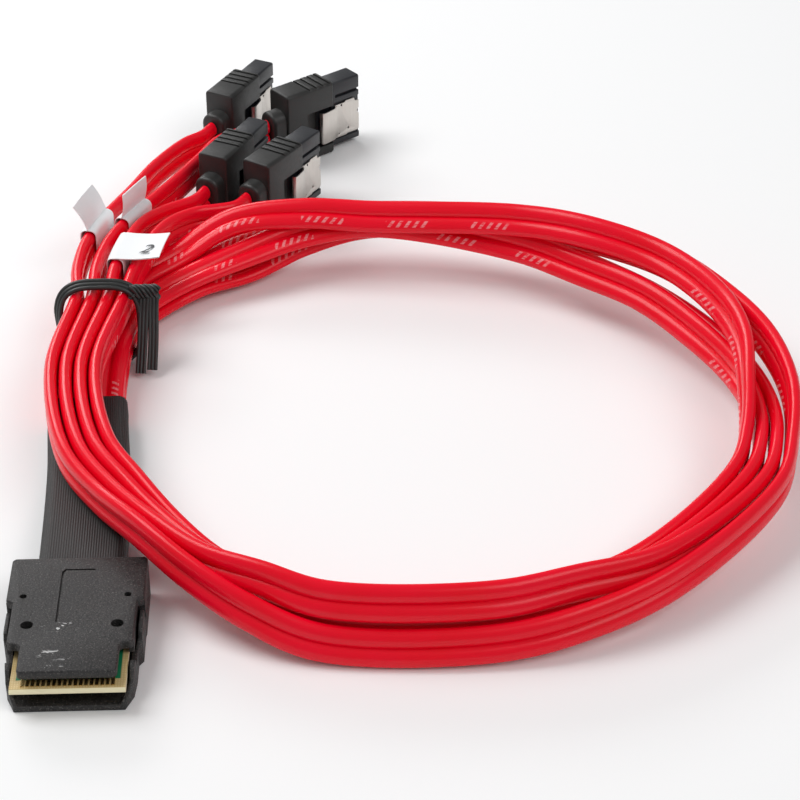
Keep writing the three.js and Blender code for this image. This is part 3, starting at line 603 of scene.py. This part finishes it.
def red_jacket():
    """Glossy red PVC with a faint pale print of ticks along one lobe."""
    finish = Finish("red_jacket", (0.84, 0.0008, 0.015), 0.24, specular=0.3)
    cloud = finish.noise(finish.place(), 90, 3)
    tone = finish.mix(cloud, (0.80, 0.0006, 0.008), (0.90, 0.001, 0.026))
    run, turn, _ = finish.split(finish.along())
    band = (turn - 0.107).size().below(0.036, 0.006)
    stroke = (run + turn * 0.012).wave(0.0016).above(0.62, 0.12)
    group = run.wave(0.0165).above(0.5, 0.02) * run.wave(0.11).above(0.3, 0.02)
    wear = finish.noise(finish.along((900, 60, 1)), 1, 2).above(0.42, 0.14)
    marks = band * stroke * group * wear
    finish.feed("Base Color", finish.mix(marks * 0.5, tone, (0.9, 0.5, 0.52)))
    finish.feed("Roughness", finish.noise(finish.along((40, 5, 1)), 2, 3) * 0.12 + 0.19)
    finish.bump(finish.noise(finish.along((90, 6, 1)), 2, 2), 0.02, 0.35)
    return finish.material


def black_shell():
    """Moulded glass-filled plastic: dark grey, grained and speckled, with a few pale scuffs."""
    finish = Finish("black_shell", (0.03, 0.03, 0.033), 0.6, specular=0.35)
    spot = finish.place()
    x, y, z = finish.split(spot)
    grain = finish.noise(spot, 2300, 3, 0.6).above(0.5, 0.2)
    speck = finish.noise(spot, 3600, 2, 0.5).above(0.62, 0.04)
    cloud = finish.noise(spot, 160, 3)
    base = finish.mix(cloud * 0.25 + grain * 0.75, (0.007, 0.007, 0.0075), (0.040, 0.037, 0.036))
    base = finish.mix(speck * 0.5, base, (0.15, 0.138, 0.13))
    strip = x.above(-0.0042, 0.0008) * x.below(0.0006, 0.0008) * z.above(0.0071, 0.0002)
    places = (y + 0.0128).size().below(0.0005, 0.0004) + (y + 0.0098).size().below(0.001, 0.0005)
    places = places * 0.8 + (y + 0.0032).size().below(0.0008, 0.0005)
    scratch = finish.noise(finish.place((0.5, 1, 1), (0, 0, 0.5)), 900, 4, 0.65, 0.8)
    scuff = scratch.above(0.6, 0.02) * strip * places
    finish.feed("Base Color", finish.mix(scuff, base, (0.75, 0.75, 0.74)))
    finish.feed("Roughness", grain * 0.2 + 0.42)
    finish.bump(grain * 0.6 + finish.noise(spot, 5200, 2) * 0.4, 0.06, 0.8)
    return finish.material


def circuit_board():
    """Green mask on the flats, bare fibre at the front and side margins and on the edges."""
    finish = Finish("circuit_board", (0.02, 0.2, 0.09), 0.35, coat=0.2)
    spot = finish.place()
    x, y, z = finish.split(spot)
    masked = x.size().below(0.00785, 0.00006) * y.above(-0.0122, 0.00006)
    flat = (z - 0.00415).size().above(0.0005, 0.00002)
    weave = x.wave(0.0004) * y.wave(0.0004)
    grain = weave * 0.5 + finish.noise(spot, 900, 3) * 0.5
    fibre = finish.mix(grain, (0.5, 0.34, 0.12), (0.8, 0.64, 0.34))
    edge = finish.mix(flat, (0.86, 0.78, 0.52), fibre)
    mask = finish.mix(finish.noise(spot, 500, 3), (0.0, 0.12, 0.05), (0.01, 0.24, 0.1))
    finish.feed("Base Color", finish.mix(masked * flat, edge, mask))
    finish.feed("Roughness", finish.noise(spot, 700, 2) * 0.2 + 0.3)
    return finish.material


def gold():
    finish = Finish("gold", (0.83, 0.6, 0.25), 0.25, metallic=1.0)
    worn = finish.noise(finish.place((1, 0.1, 1)), 2400, 3)
    finish.feed("Base Color", finish.mix(worn, (0.72, 0.48, 0.18), (0.92, 0.72, 0.36)))
    finish.feed("Roughness", worn * 0.25 + 0.15)
    return finish.material


def steel():
    """Stamped stainless strip with fine rolling streaks and dull spots."""
    finish = Finish("steel", (0.62, 0.58, 0.54), 0.32, metallic=1.0)
    streak = finish.noise(finish.place((1, 1, 0.06)), 2600, 3, 0.6)
    cloud = finish.noise(finish.place(), 260, 3)
    tone = finish.mix(streak * 0.5 + cloud * 0.5, (0.5, 0.46, 0.42), (0.78, 0.74, 0.70))
    finish.feed("Base Color", tone)
    finish.feed("Roughness", streak * 0.22 + cloud * 0.12 + 0.18)
    finish.bump(streak, 0.02, 0.35)
    return finish.material


def plastic(name, dark, light, rough, grain=1400, depth=0.03):
    """Moulded plastic with a fine spark grain and slightly rubbed patches."""
    finish = Finish(name, dark, rough, specular=0.5)
    spot = finish.place()
    texture = finish.noise(spot, grain, 3, 0.6)
    cloud = finish.noise(spot, 150, 3)
    finish.feed("Base Color", finish.mix(cloud * 0.6 + texture * 0.4, dark, light))
    finish.feed("Roughness", texture * 0.2 + cloud * 0.12 + rough - 0.15)
    finish.bump(texture, depth, 0.6)
    return finish.material


def potting():
    finish = Finish("potting", (0.75, 0.7, 0.58), 0.4, coat=0.2)
    cloud = finish.noise(finish.place(), 400, 3)
    finish.feed("Base Color", finish.mix(cloud, (0.66, 0.6, 0.46), (0.82, 0.78, 0.66)))
    finish.bump(cloud, 0.2, 0.6)
    return finish.material


def woven_sleeve():
    """Braided black yarn: fine crossing strands over the lengthwise ribs."""
    finish = Finish("woven_sleeve", (0.02, 0.02, 0.022), 0.7)
    run, turn, _ = finish.split(finish.along())
    yarn = (turn * SLEEVE_RIBS).wave(1)
    stitch = (run + turn * 0.0368).wave(0.0011) * 0.5 + (run - turn * 0.0368).wave(0.0011) * 0.5
    fuzz = finish.noise(finish.place(), 2600, 3)
    weave = yarn * 0.55 + stitch * 0.2 + fuzz * 0.25
    finish.feed("Base Color", finish.mix(weave, (0.003, 0.0028, 0.0028), (0.030, 0.027, 0.026)))
    finish.feed("Roughness", fuzz * 0.2 + 0.5)
    finish.bump(weave, 0.08, 0.8)
    return finish.material


def tie_plastic():
    finish = Finish("tie", (0.012, 0.013, 0.013), 0.42, specular=0.5)
    line = finish.noise(finish.along((500, 40, 1)), 1, 3)
    finish.feed("Base Color", finish.mix(line, (0.008, 0.009, 0.009), (0.032, 0.034, 0.033)))
    finish.feed("Roughness", line * 0.25 + 0.3)
    finish.bump(line, 0.03, 0.5)
    return finish.material


def paper():
    finish = Finish("paper", (0.85, 0.87, 0.88), 0.55)
    fibre = finish.noise(finish.place(), 1900, 4, 0.65)
    cloud = finish.noise(finish.place(), 200, 2)
    tone = finish.mix(fibre * 0.4 + cloud * 0.6, (0.80, 0.82, 0.835), (0.90, 0.915, 0.92))
    finish.feed("Base Color", tone)
    finish.feed("Roughness", fibre * 0.15 + 0.45)
    finish.bump(fibre, 0.03, 0.5)
    return finish.material


def ink():
    finish = Finish("ink", (0.03, 0.03, 0.035), 0.5)
    cloud = finish.noise(finish.place(), 900, 2)
    finish.feed("Base Color", finish.mix(cloud, (0.02, 0.02, 0.024), (0.07, 0.07, 0.075)))
    return finish.material


FINISHES = {
    "red_jacket": red_jacket(), "black_shell": black_shell(), "circuit_board": circuit_board(),
    "gold": gold(), "steel": steel(), "potting": potting(), "sleeve": woven_sleeve(),
    "tie": tie_plastic(), "paper": paper(), "ink": ink(),
    "black_grip": plastic("black_grip", (0.0085, 0.0085, 0.0085), (0.027, 0.026, 0.024), 0.46),
    "black_nose": plastic("black_nose", (0.007, 0.0075, 0.010), (0.019, 0.020, 0.025), 0.4, 1800, 0.02),
}


def dressed(piece, finish):
    piece.data.materials.clear()
    piece.data.materials.append(FINISHES[finish])
    return piece


# Cables.

place_camera()
routes = [strand_route(plug) for plug in SATA_PLUGS]
cables = []
for plug, route in zip(SATA_PLUGS, routes):
    name = plug["label"]
    frames = route.frames(0, route.length, 1.3)
    jacket = swept(f"jacket_{name}", frames, lobes(CABLE_WIDTH, CABLE_THICKNESS))
    smooth(jacket, 35)
    ride(dressed(jacket, "red_jacket"), f"cable_{name}", slot="red_jacket")
    path = [tuple(point * MM) for point, _, _, _ in frames[::4]] + [tuple(frames[-1][0] * MM)]
    cables.append((jacket, path))
    print("cable", name, round(route.length, 1), "mm")


def braided_sleeve():
    """The sleeve, ribbed lengthwise, with one section along its whole length."""
    start = middle_line.runs[round(6000 * SLEEVE_RANGE[0] / middle_line.count)]
    end = middle_line.runs[round(6000 * SLEEVE_RANGE[1] / middle_line.count)]
    inner_thick = PITCH_THIN + CABLE_THICKNESS + 2 * SLEEVE_FIT
    inner_wide = PITCH_WIDE + CABLE_WIDTH + 2 * SLEEVE_FIT
    base_thick = inner_thick + 2 * SLEEVE_WALL - 0.1
    base_wide = inner_wide + 2 * SLEEVE_WALL - 0.1
    count = 4 * SLEEVE_RIBS
    outer = []
    for k, (x, y) in enumerate(evened(rounded(base_thick, base_wide, 1.65), count)):
        reach = math.hypot(x, y)
        rib = 0.07 * (0.5 + 0.5 * math.cos(2 * math.pi * k / 4))
        outer.append((x * (1 + rib / reach), y * (1 + rib / reach)))
    inner = evened(rounded(inner_thick, inner_wide, ROW), count)
    frames = middle_line.frames(start, end, 0.7)
    piece = swept("braided_sleeve", frames, outer, inner)
    smooth(piece, 50)
    return ride(dressed(piece, "sleeve"), "cable_sleeve", slot="sleeve")


# Tie.

def strip_section(width, thickness):
    """A flat strip with three rounded ridges on each face, across and along its width."""
    points = []
    steps = 18
    for k in range(steps + 1):
        y = -width / 2 + width * k / steps
        ridge = abs(math.sin(3 * math.pi * k / steps)) ** 0.7
        points.append((thickness * (0.22 + 0.28 * ridge), y))
    return points + [(-x, y) for x, y in reversed(points)]


def tie_ring():
    """Frames round the leaning loop, from the knot and back to it, its strip turned to the front."""
    turn = Matrix.Rotation(math.pi / 2 - math.radians(TIE["lean"]), 3, "X")
    middle = Vector((TIE["x"], TIE["y"], TIE["z"]))
    half_wide = TIE["width"] / 2 + 0.4
    half_tall = TIE["tall"] / 2 + 0.5
    axis = turn @ Vector((0, 0, 1))
    count = 96
    points = []
    for k in range(count + 1):
        angle = math.radians(KNOT_ANGLE) + 2 * math.pi * k / count
        x = math.copysign(abs(math.cos(angle)) ** (2 / TIE_SQUARENESS), math.cos(angle)) * half_wide
        y = math.copysign(abs(math.sin(angle)) ** (2 / TIE_SQUARENESS), math.sin(angle)) * half_tall
        points.append(middle + turn @ Vector((x, y, 0)))
    frames = []
    run = 0
    for k, point in enumerate(points):
        heading = (points[min(count, k + 1)] - points[max(0, k - 1)]).normalized()
        outward = heading.cross(axis).normalized()
        if outward.dot(point - middle) < 0:
            outward = -outward
        if frames:
            run += (point - frames[-1][0]).length
        high = max(0.0, min(1.0, (point.z - 4) / 6))
        lean = math.radians(STRIP_LEAN) * high
        normal = outward * math.cos(lean) + axis * math.sin(lean)
        frames.append((point + outward * 0.35 * high, normal, heading.cross(normal), run))
    return frames


def strip_frames(points, start_across, end_across, step=0.5):
    route = Route(points, [UPRIGHT] * len(points))
    frames = []
    for point, _, _, run in route.frames(0, route.length, step):
        share = run / route.length
        across = Vector(start_across).lerp(Vector(end_across), share)
        tangent = route.tangent(route.place_after(run))
        across = (across - tangent * across.dot(tangent)).normalized()
        frames.append((point, across.cross(tangent), across, run))
    return frames


def knot_frames(start, end, radius, turns, phase, step=0.25):
    """One strand wound round the line between two points."""
    line = Vector(end) - Vector(start)
    axis = line.normalized()
    up = axis.orthogonal().normalized()
    side = axis.cross(up)
    points = []
    count = 28
    for k in range(count + 1):
        angle = phase + 2 * math.pi * turns * k / count
        centre = Vector(start) + line * (k / count)
        points.append(centre + (up * math.cos(angle) + side * math.sin(angle)) * radius)
    route = Route(points, [UPRIGHT] * len(points))
    frames = []
    for point, _, _, run in route.frames(0, route.length, step):
        tangent = route.tangent(route.place_after(run))
        centre = Vector(start) + axis * (point - Vector(start)).dot(axis)
        outward = (point - centre).normalized()
        outward = (outward - tangent * outward.dot(tangent)).normalized()
        frames.append((point, outward, tangent.cross(outward), run))
    return frames


def twist_tie():
    section = strip_section(2.4, TIE_THICKNESS)
    ring = swept("twist_tie_strip", tie_ring(), section)
    thin = strip_section(1.9, 0.55)
    parts = []
    start = (4.2, 85.2, 13.3)
    end = (8.6, 86.2, 12.7)
    for phase in (0.4, 0.4 + 2 * math.pi / 3, 0.4 + 4 * math.pi / 3):
        parts.append(swept("knot", knot_frames(start, end, 0.85, 0.9, phase), strip_section(1.9, 1.1)))
    parts.append(swept("tail", strip_frames(
        [(6.3, 86.6, 13.1), (6.4, 85.2, 12.6), (6.2, 83.6, 10.1), (5.9, 80.3, 5.7), (5.5, 76.6, 1.1)],
        (1, 0.1, 0), (1, -0.15, 0)), thin))
    parts.append(swept("tail", strip_frames(
        [(8, 86.9, 13.1), (8.1, 85.5, 12.6), (8, 83.9, 10.2), (7.9, 80.7, 5.9), (7.6, 77.2, 1.4)],
        (1, 0.2, 0), (1, 0.1, 0)), thin))
    piece = merged(ring, *parts)
    smooth(piece, 55)
    return ride(dressed(piece, "tie"), "twist_tie", slot="tie")


# Paper flags.

def flag_label(label):
    route = routes[label["plug"]]
    number = SATA_PLUGS[label["plug"]]["label"]
    start = route.run_at_y(label["from"])
    frames = []
    for point, _, _, run in route.frames(start, start + LABEL_LENGTH, 0.7):
        normal, width = flats_at(route.tangent(route.place_after(run)), UPRIGHT)
        frames.append((point, normal, width, run - start))
    gap = 0.32
    wall = 0.14
    outer = rounded(CABLE_THICKNESS + 2 * (gap + wall), CABLE_WIDTH + 2 * (gap + wall), 1.2, 7)
    inner = rounded(CABLE_THICKNESS + 2 * gap, CABLE_WIDTH + 2 * gap, 1.1, 7)
    wrap = swept(f"label_paper_{number}", frames, outer, inner)
    top = -(CABLE_WIDTH / 2 + gap + wall / 2)
    angle = math.radians(-label["turn"])
    section = []
    steps = 12
    for side in (1, -1):
        order = range(steps + 1) if side == 1 else range(steps, -1, -1)
        for k in order:
            out = label["flag"] * k / steps
            wave = 0.28 * math.sin(math.pi * k / steps) + side * 0.11
            section.append((out * math.cos(angle) - wave * math.sin(angle),
                            top + out * math.sin(angle) + wave * math.cos(angle)))
    flag = swept("flag", frames, section[::-1])
    piece = merged(wrap, flag)
    smooth(piece, 50)
    ride(dressed(piece, "paper"), f"label_{number}", slot="paper")
    return piece, frames, top, angle


def written_number(number, frames, top, angle, label):
    """A number in ink on the upper face of a flag, its foot towards the tie."""
    point, normal, width, _ = frames[len(frames) // 2]
    along = (frames[-1][0] - frames[0][0]).normalized()
    outward = (normal * math.cos(angle) + width * math.sin(angle)).normalized()
    face = outward.cross(along).normalized()
    side = 1 if face.z > 0 else -1
    curve = bpy.data.curves.new(f"number_{number}", "FONT")
    curve.body = number
    curve.size = NUMBER_SIZE * MM
    curve.align_x = "CENTER"
    curve.align_y = "CENTER"
    curve.shear = 0.35
    curve.extrude = 0.00002
    piece = bpy.data.objects.new(f"number_{number}", curve)
    bpy.context.scene.collection.objects.link(piece)
    pick(piece)
    bpy.ops.object.convert(target="MESH")
    piece = bpy.context.object
    right = outward * side
    out = right.cross(along).normalized()
    spot = point + width * top + outward * (label["flag"] * 0.62) + out * 0.12 - along * 1.6
    place = Matrix.Translation(spot * MM) @ Matrix((
        (right.x, along.x, out.x, 0), (right.y, along.y, out.y, 0), (right.z, along.z, out.z, 0),
        (0, 0, 0, 1)))
    piece.data.transform(place)
    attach(dressed(piece, "ink"), "root")
    return piece


braided_sleeve()
tie = twist_tie()
flags = {}
for label in LABELS:
    number = SATA_PLUGS[label["plug"]]["label"]
    piece, frames, top, angle = flag_label(label)
    flags[number] = [piece]
    if number == "2":
        flags[number].append(written_number(number, frames, top, angle, label))


def declare_cords():
    for (jacket, path), plug, route in zip(cables, SATA_PLUGS, routes):
        number = plug["label"]
        on_it = flags.get(number, [])[:]
        if number == "1":
            on_it.append(tie)


declare_cords()


# Mini SAS plug.

def cover_outline():
    c = 0.5
    return mirrored([
        (7.5 - c, -13.6), (7.5, -13.6 + c), (7.5, -7 - c), (7.5 + c, -7), (9.6 - c, -7), (9.6, -7 + c),
        (9.6, 3), (10.7, 3 + c), (10.7, 14 - c), (10.7 - c, 14),
    ])


def mouth():
    return brick(-6.65, 6.65, 9, 15, 1, 6.5)


def top_cover():
    cover = eased(plate("top_cover", cover_outline(), 5.9, 7.5), 0.3, 3, 35)
    skirt = carve(brick(-10.7, 10.7, 3.5, 13.5, 3.9, 6.9), brick(-9.8, 9.8, 2, 12.6, 0, 5.9))
    weld(cover, skirt)
    for side in (-1, 1):
        low, high = sorted((side * 9.6, side * 8.8))
        weld(cover, brick(low, high, -6.5, 3.8, 5, 6.9))
    cutters = [mouth()]
    for side in (-1, 1):
        small = [(side * 8.1 + x, 4.4 + y) for x, y in rounded(1.1, 1.1, 0.5)]
        large = [(side * 6.9 + x, -2.6 + y) for x, y in rounded(1.95, 1.8, 0.85)]
        cutters.append(plate("cutter", small, 4.8, 9))
        cutters.append(plate("cutter", large, 4.8, 9))
    line = [
        (-2.6, -2), (-2.25, -2), (-2.25, 10.1), (-1.9, 10.65), (2.6, 10.65), (2.6, 11), (-2.1, 11),
        (-2.6, 10.3),
    ]
    cutters.append(plate("cutter", line, 7.2, 9))
    carve(cover, *cutters)
    smooth(clean(cover), 30)
    return ride(dressed(cover, "black_shell"), "mini_sas_top_cover", slot="black_shell")


def tray_outline():
    return mirrored([
        (8.4, -14), (9.6, -11.2), (9.9, -8), (9.9, -4), (10.6, -3), (10.6, 3), (10.7, 3.5), (10.7, 13.5),
        (10.2, 14),
    ])


def bottom_tray():
    tray = plate("bottom_tray", tray_outline(), 0, 6)
    walls = [
        (-14.2, -1), (14.2, -1), (14.2, 3.8), (3, 3.8), (3, 5.2), (2.6, 5.7), (2, 6), (-2, 6), (-2.5, 5.8),
        (-4, 3.4), (-8, 3.4), (-8, 4.6), (-8.3, 4.9), (-9.2, 4.9), (-10, 4.4), (-12.2, 2.4), (-14.2, 1.2),
    ]
    carve(tray, post("cutter", walls, -12, 12), operation="INTERSECT")
    cavity = mirrored([
        (7.55, -15), (7.8, -14), (9.05, -11.2), (9.05, -5), (10, -3), (10, 3.3), (9.8, 3.6), (9.8, 13.1),
    ])
    dot = pin(8.4, 3.2, 0.3, 10.3, 11.5, 12)
    dot.data.transform(ALONG_X)
    carve(tray, plate("cutter", cavity, 1.1, 7), brick(-4.3, 4.3, -12.3, 9.3, -1, 0.5), mouth(), dot)
    eased(clean(tray), 0.1, 2, 50)
    smooth(tray, 30)
    return ride(dressed(tray, "black_shell"), "mini_sas_bottom_tray", slot="black_shell")


# SATA plugs, made once along +X and copied to their four places.

GROOVE_WIDTH = 0.55
GROOVE_PITCH = 1.75
GROOVE_MARGIN = 0.7
NOSE_WIDTH = 14.8
NOSE_TIP = 19.6
MIDDLE = GRIP_WIDTH / 2
LATCH_LOW = 2.6
LATCH_HIGH = 10.7
TAB_LOW = 2.9
TAB_HIGH = 10.1
WINDOW_LOW = 2.3
WINDOW_HIGH = 11.1
SLOT_LOW = 12.1
SLOT_HIGH = 12.8


def upright(width, thickness, corner, steps=5):
    return [(x, MIDDLE + y) for x, y in rounded(thickness, width, corner, steps)]


def grip():
    body = eased(post("grip", upright(GRIP_WIDTH, 6.4, 0.8), 0, GRIP_LENGTH), 0.35, 3, 60)
    collar = eased(post("collar", upright(9, 5.2, 2.3, 8), -COLLAR_LENGTH, 1), 0.7, 4, 60)
    weld(body, collar)
    grooves = []
    for k in range(4):
        x = GRIP_LENGTH - GROOVE_MARGIN - GROOVE_WIDTH - k * GROOVE_PITCH
        grooves.append(brick(x, x + GROOVE_WIDTH, -4, 4, -1, 0.42))
        grooves.append(brick(x, x + GROOVE_WIDTH, -4, 4, 16.18, 18))
    window = brick(5.1, 13, -5, -1.7, WINDOW_LOW, WINDOW_HIGH)
    pocket = brick(8.3, 13, -1.9, 1.9, 1.7, 14.9)
    carve(body, window, pocket, *grooves)
    return smooth(eased(clean(body), 0.09, 2, 50), 30)


def nose():
    body = eased(post("nose", upright(NOSE_WIDTH, 4.5, 0.4), 12.1, NOSE_TIP), 0.2, 2, 60)
    weld(body, brick(8.6, 13, -1.6, 1.6, 2, 14.6))
    slot = brick(NOSE_TIP - 5.2, 21, -1.05, 1.05, 2.8, 13.8)
    key = brick(NOSE_TIP - 5.2, 21, -1.05, 1.65, 12.3, 13.8)
    line = brick(NOSE_TIP - 6.4, 21, -5, -1.55, SLOT_LOW, SLOT_HIGH)
    seat = brick(NOSE_TIP - 6.7, 21, -5, -1.9, LATCH_LOW - 0.3, LATCH_HIGH + 0.3)
    carve(body, slot, key, line, seat)
    return smooth(eased(clean(body), 0.07, 2, 50), 30)


def latch():
    front = NOSE_TIP - 0.1
    bend = front - 6.4
    rear = bend - 4.4
    low = LATCH_LOW
    high = LATCH_HIGH
    outline = [
        (low, bend), (low, front - 3.4), (low + 0.25, front - 3.2), (low + 0.25, front - 0.3),
        (low + 0.6, front), (low + 4.1, front), (low + 4.4, front - 0.25), (low + 4.8, front - 0.55),
        (low + 5.2, front - 0.25), (low + 5.5, front), (high - 0.9, front), (high - 0.8, front - 1),
        (high, front - 1.3), (high, front - 3.6), (high - 0.35, front - 3.8), (high - 0.35, bend),
    ]
    sheet = plate("latch", [(x, z) for z, x in outline], 2.0, 2.3)
    flat = Matrix(((1, 0, 0, 0), (0, 0, -1, 0), (0, 1, 0, 0), (0, 0, 0, 1)))
    sheet.data.transform(flat)
    outer = [
        (bend + 0.9, -2.3), (bend + 0.3, -2.42), (bend - 0.2, -2.8), (bend - 0.8, -3.1),
        (rear + 1.6, -3.42), (rear + 0.8, -3.5), (rear + 0.3, -3.38), (rear + 0.05, -3.05), (rear, -2.6),
    ]
    inner = [
        (rear + 0.28, -2.62), (rear + 0.33, -2.98), (rear + 0.5, -3.14), (rear + 0.85, -3.2),
        (rear + 1.6, -3.12), (bend - 0.75, -2.81), (bend - 0.1, -2.5), (bend + 0.4, -2.12),
        (bend + 0.9, -2.02),
    ]
    weld(sheet, plate("tab", outer + inner, TAB_LOW, TAB_HIGH))
    dimples = []
    for x, z, radius in ((14.8, high - 0.75, 0.24), (16.6, low + 1.5, 0.24), (14.1, low + 0.75, 0.16)):
        hole = pin(x, z, radius, 1, 4, 16)
        hole.data.transform(flat)
        dimples.append(hole)
    carve(sheet, *dimples)
    return smooth(eased(clean(sheet), 0.05, 2, 50), 30)


def sata_plugs():
    parts = {
        "grip": (grip(), "black_grip"), "nose": (nose(), "black_nose"), "latch": (latch(), "steel"),
    }
    for plug in SATA_PLUGS:
        stand = Matrix.Translation(Vector((plug["x"], plug["y"], 0)) * MM)
        stand = stand @ Matrix.Rotation(math.radians(plug["heading"]), 4, "Z")
        for part, (model, finish) in parts.items():
            piece = copied(model, f"plug_{plug['label']}_{part}", stand)
            ride(dressed(piece, finish), f"sata_{plug['label']}_{part}", slot=finish)
    for model, _ in parts.values():
        bpy.data.objects.remove(model)


top_cover()
bottom_tray()
sata_plugs()

kept = {"paddle_card": "circuit_board", "card_pads_top": "gold", "card_pads_bottom": "gold",
        "wire_potting": "potting", "mini_sas_latch_plate": "steel"}
kept.update({f"sata_{plug['label']}_contacts": "gold" for plug in SATA_PLUGS})
for node, finish in kept.items():
    dressed(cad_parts[node], finish)


# Floor and light.

FLOOR_MIDDLE = (0.05, 0.08)
PALE_FROM = 0.36
PALE_SOFTNESS = 0.17
PALE_LEVEL = 0.98
WORLD_STRENGTH = 0.33
KEY_POWER = 4.6
FILL_POWER = 2.5
BACK_POWER = 2.2


def floor():
    """A pale floor that takes the shadow near the cable and is seen plain and pale further off."""
    deselect()
    bpy.ops.mesh.primitive_plane_add(size=6, location=(0, 0, -0.0001))
    ground = bpy.context.object
    ground.name = "floor"
    finish = Finish("floor", (0.93, 0.93, 0.93), 0.9, specular=0.1)
    x, y, _ = finish.split(finish.place(at=(-FLOOR_MIDDLE[0], -FLOOR_MIDDLE[1], 0)))
    away = ((x * x + y * y) ** 0.5).above(PALE_FROM, PALE_SOFTNESS)
    seen = finish.node("Light Path", output="Is Camera Ray")
    tree = finish.tree
    pale = tree.nodes.new("ShaderNodeEmission")
    pale.inputs["Color"].default_value = (PALE_LEVEL, PALE_LEVEL, PALE_LEVEL, 1)
    swap = tree.nodes.new("ShaderNodeMixShader")
    finish.join(swap.inputs[0], away * seen)
    tree.links.new(finish.shader.outputs[0], swap.inputs[1])
    tree.links.new(pale.outputs[0], swap.inputs[2])
    output = next(node for node in tree.nodes if node.type == "OUTPUT_MATERIAL")
    tree.links.new(swap.outputs[0], output.inputs[0])
    ground.data.materials.append(finish.material)


def softbox(name, place, aim, size, power):
    data = bpy.data.lights.new(name, "AREA")
    data.shape = "RECTANGLE"
    data.size, data.size_y = size
    data.energy = power
    lamp = bpy.data.objects.new(name, data)
    lamp.location = place
    lamp.rotation_euler = (Vector(aim) - Vector(place)).to_track_quat("-Z", "Y").to_euler()
    bpy.context.scene.collection.objects.link(lamp)


def studio():
    world = bpy.data.worlds.new("studio")
    world.use_nodes = True
    tree = world.node_tree
    tree.nodes.clear()
    output = tree.nodes.new("ShaderNodeOutputWorld")
    seen = tree.nodes.new("ShaderNodeBackground")
    lit = tree.nodes.new("ShaderNodeBackground")
    swap = tree.nodes.new("ShaderNodeMixShader")
    rays = tree.nodes.new("ShaderNodeLightPath")
    lit.inputs[0].default_value = (0.97, 0.985, 1, 1)
    lit.inputs[1].default_value = WORLD_STRENGTH
    seen.inputs[0].default_value = (1, 1, 1, 1)
    seen.inputs[1].default_value = 1
    tree.links.new(rays.outputs["Is Camera Ray"], swap.inputs[0])
    tree.links.new(lit.outputs[0], swap.inputs[1])
    tree.links.new(seen.outputs[0], swap.inputs[2])
    tree.links.new(swap.outputs[0], output.inputs[0])
    bpy.context.scene.world = world
    softbox("key", (-0.45, 0.25, 0.75), (0.04, 0.08, 0), (0.5, 0.5), KEY_POWER)
    softbox("fill", (0.5, -0.35, 0.7), (0.05, 0.08, 0), (0.7, 0.4), FILL_POWER)
    softbox("back", (-0.32, 0.78, 0.42), (0.04, 0.06, 0), (0.5, 0.22), BACK_POWER)


floor()
studio()
bpy.context.scene.view_settings.view_transform = "Standard"
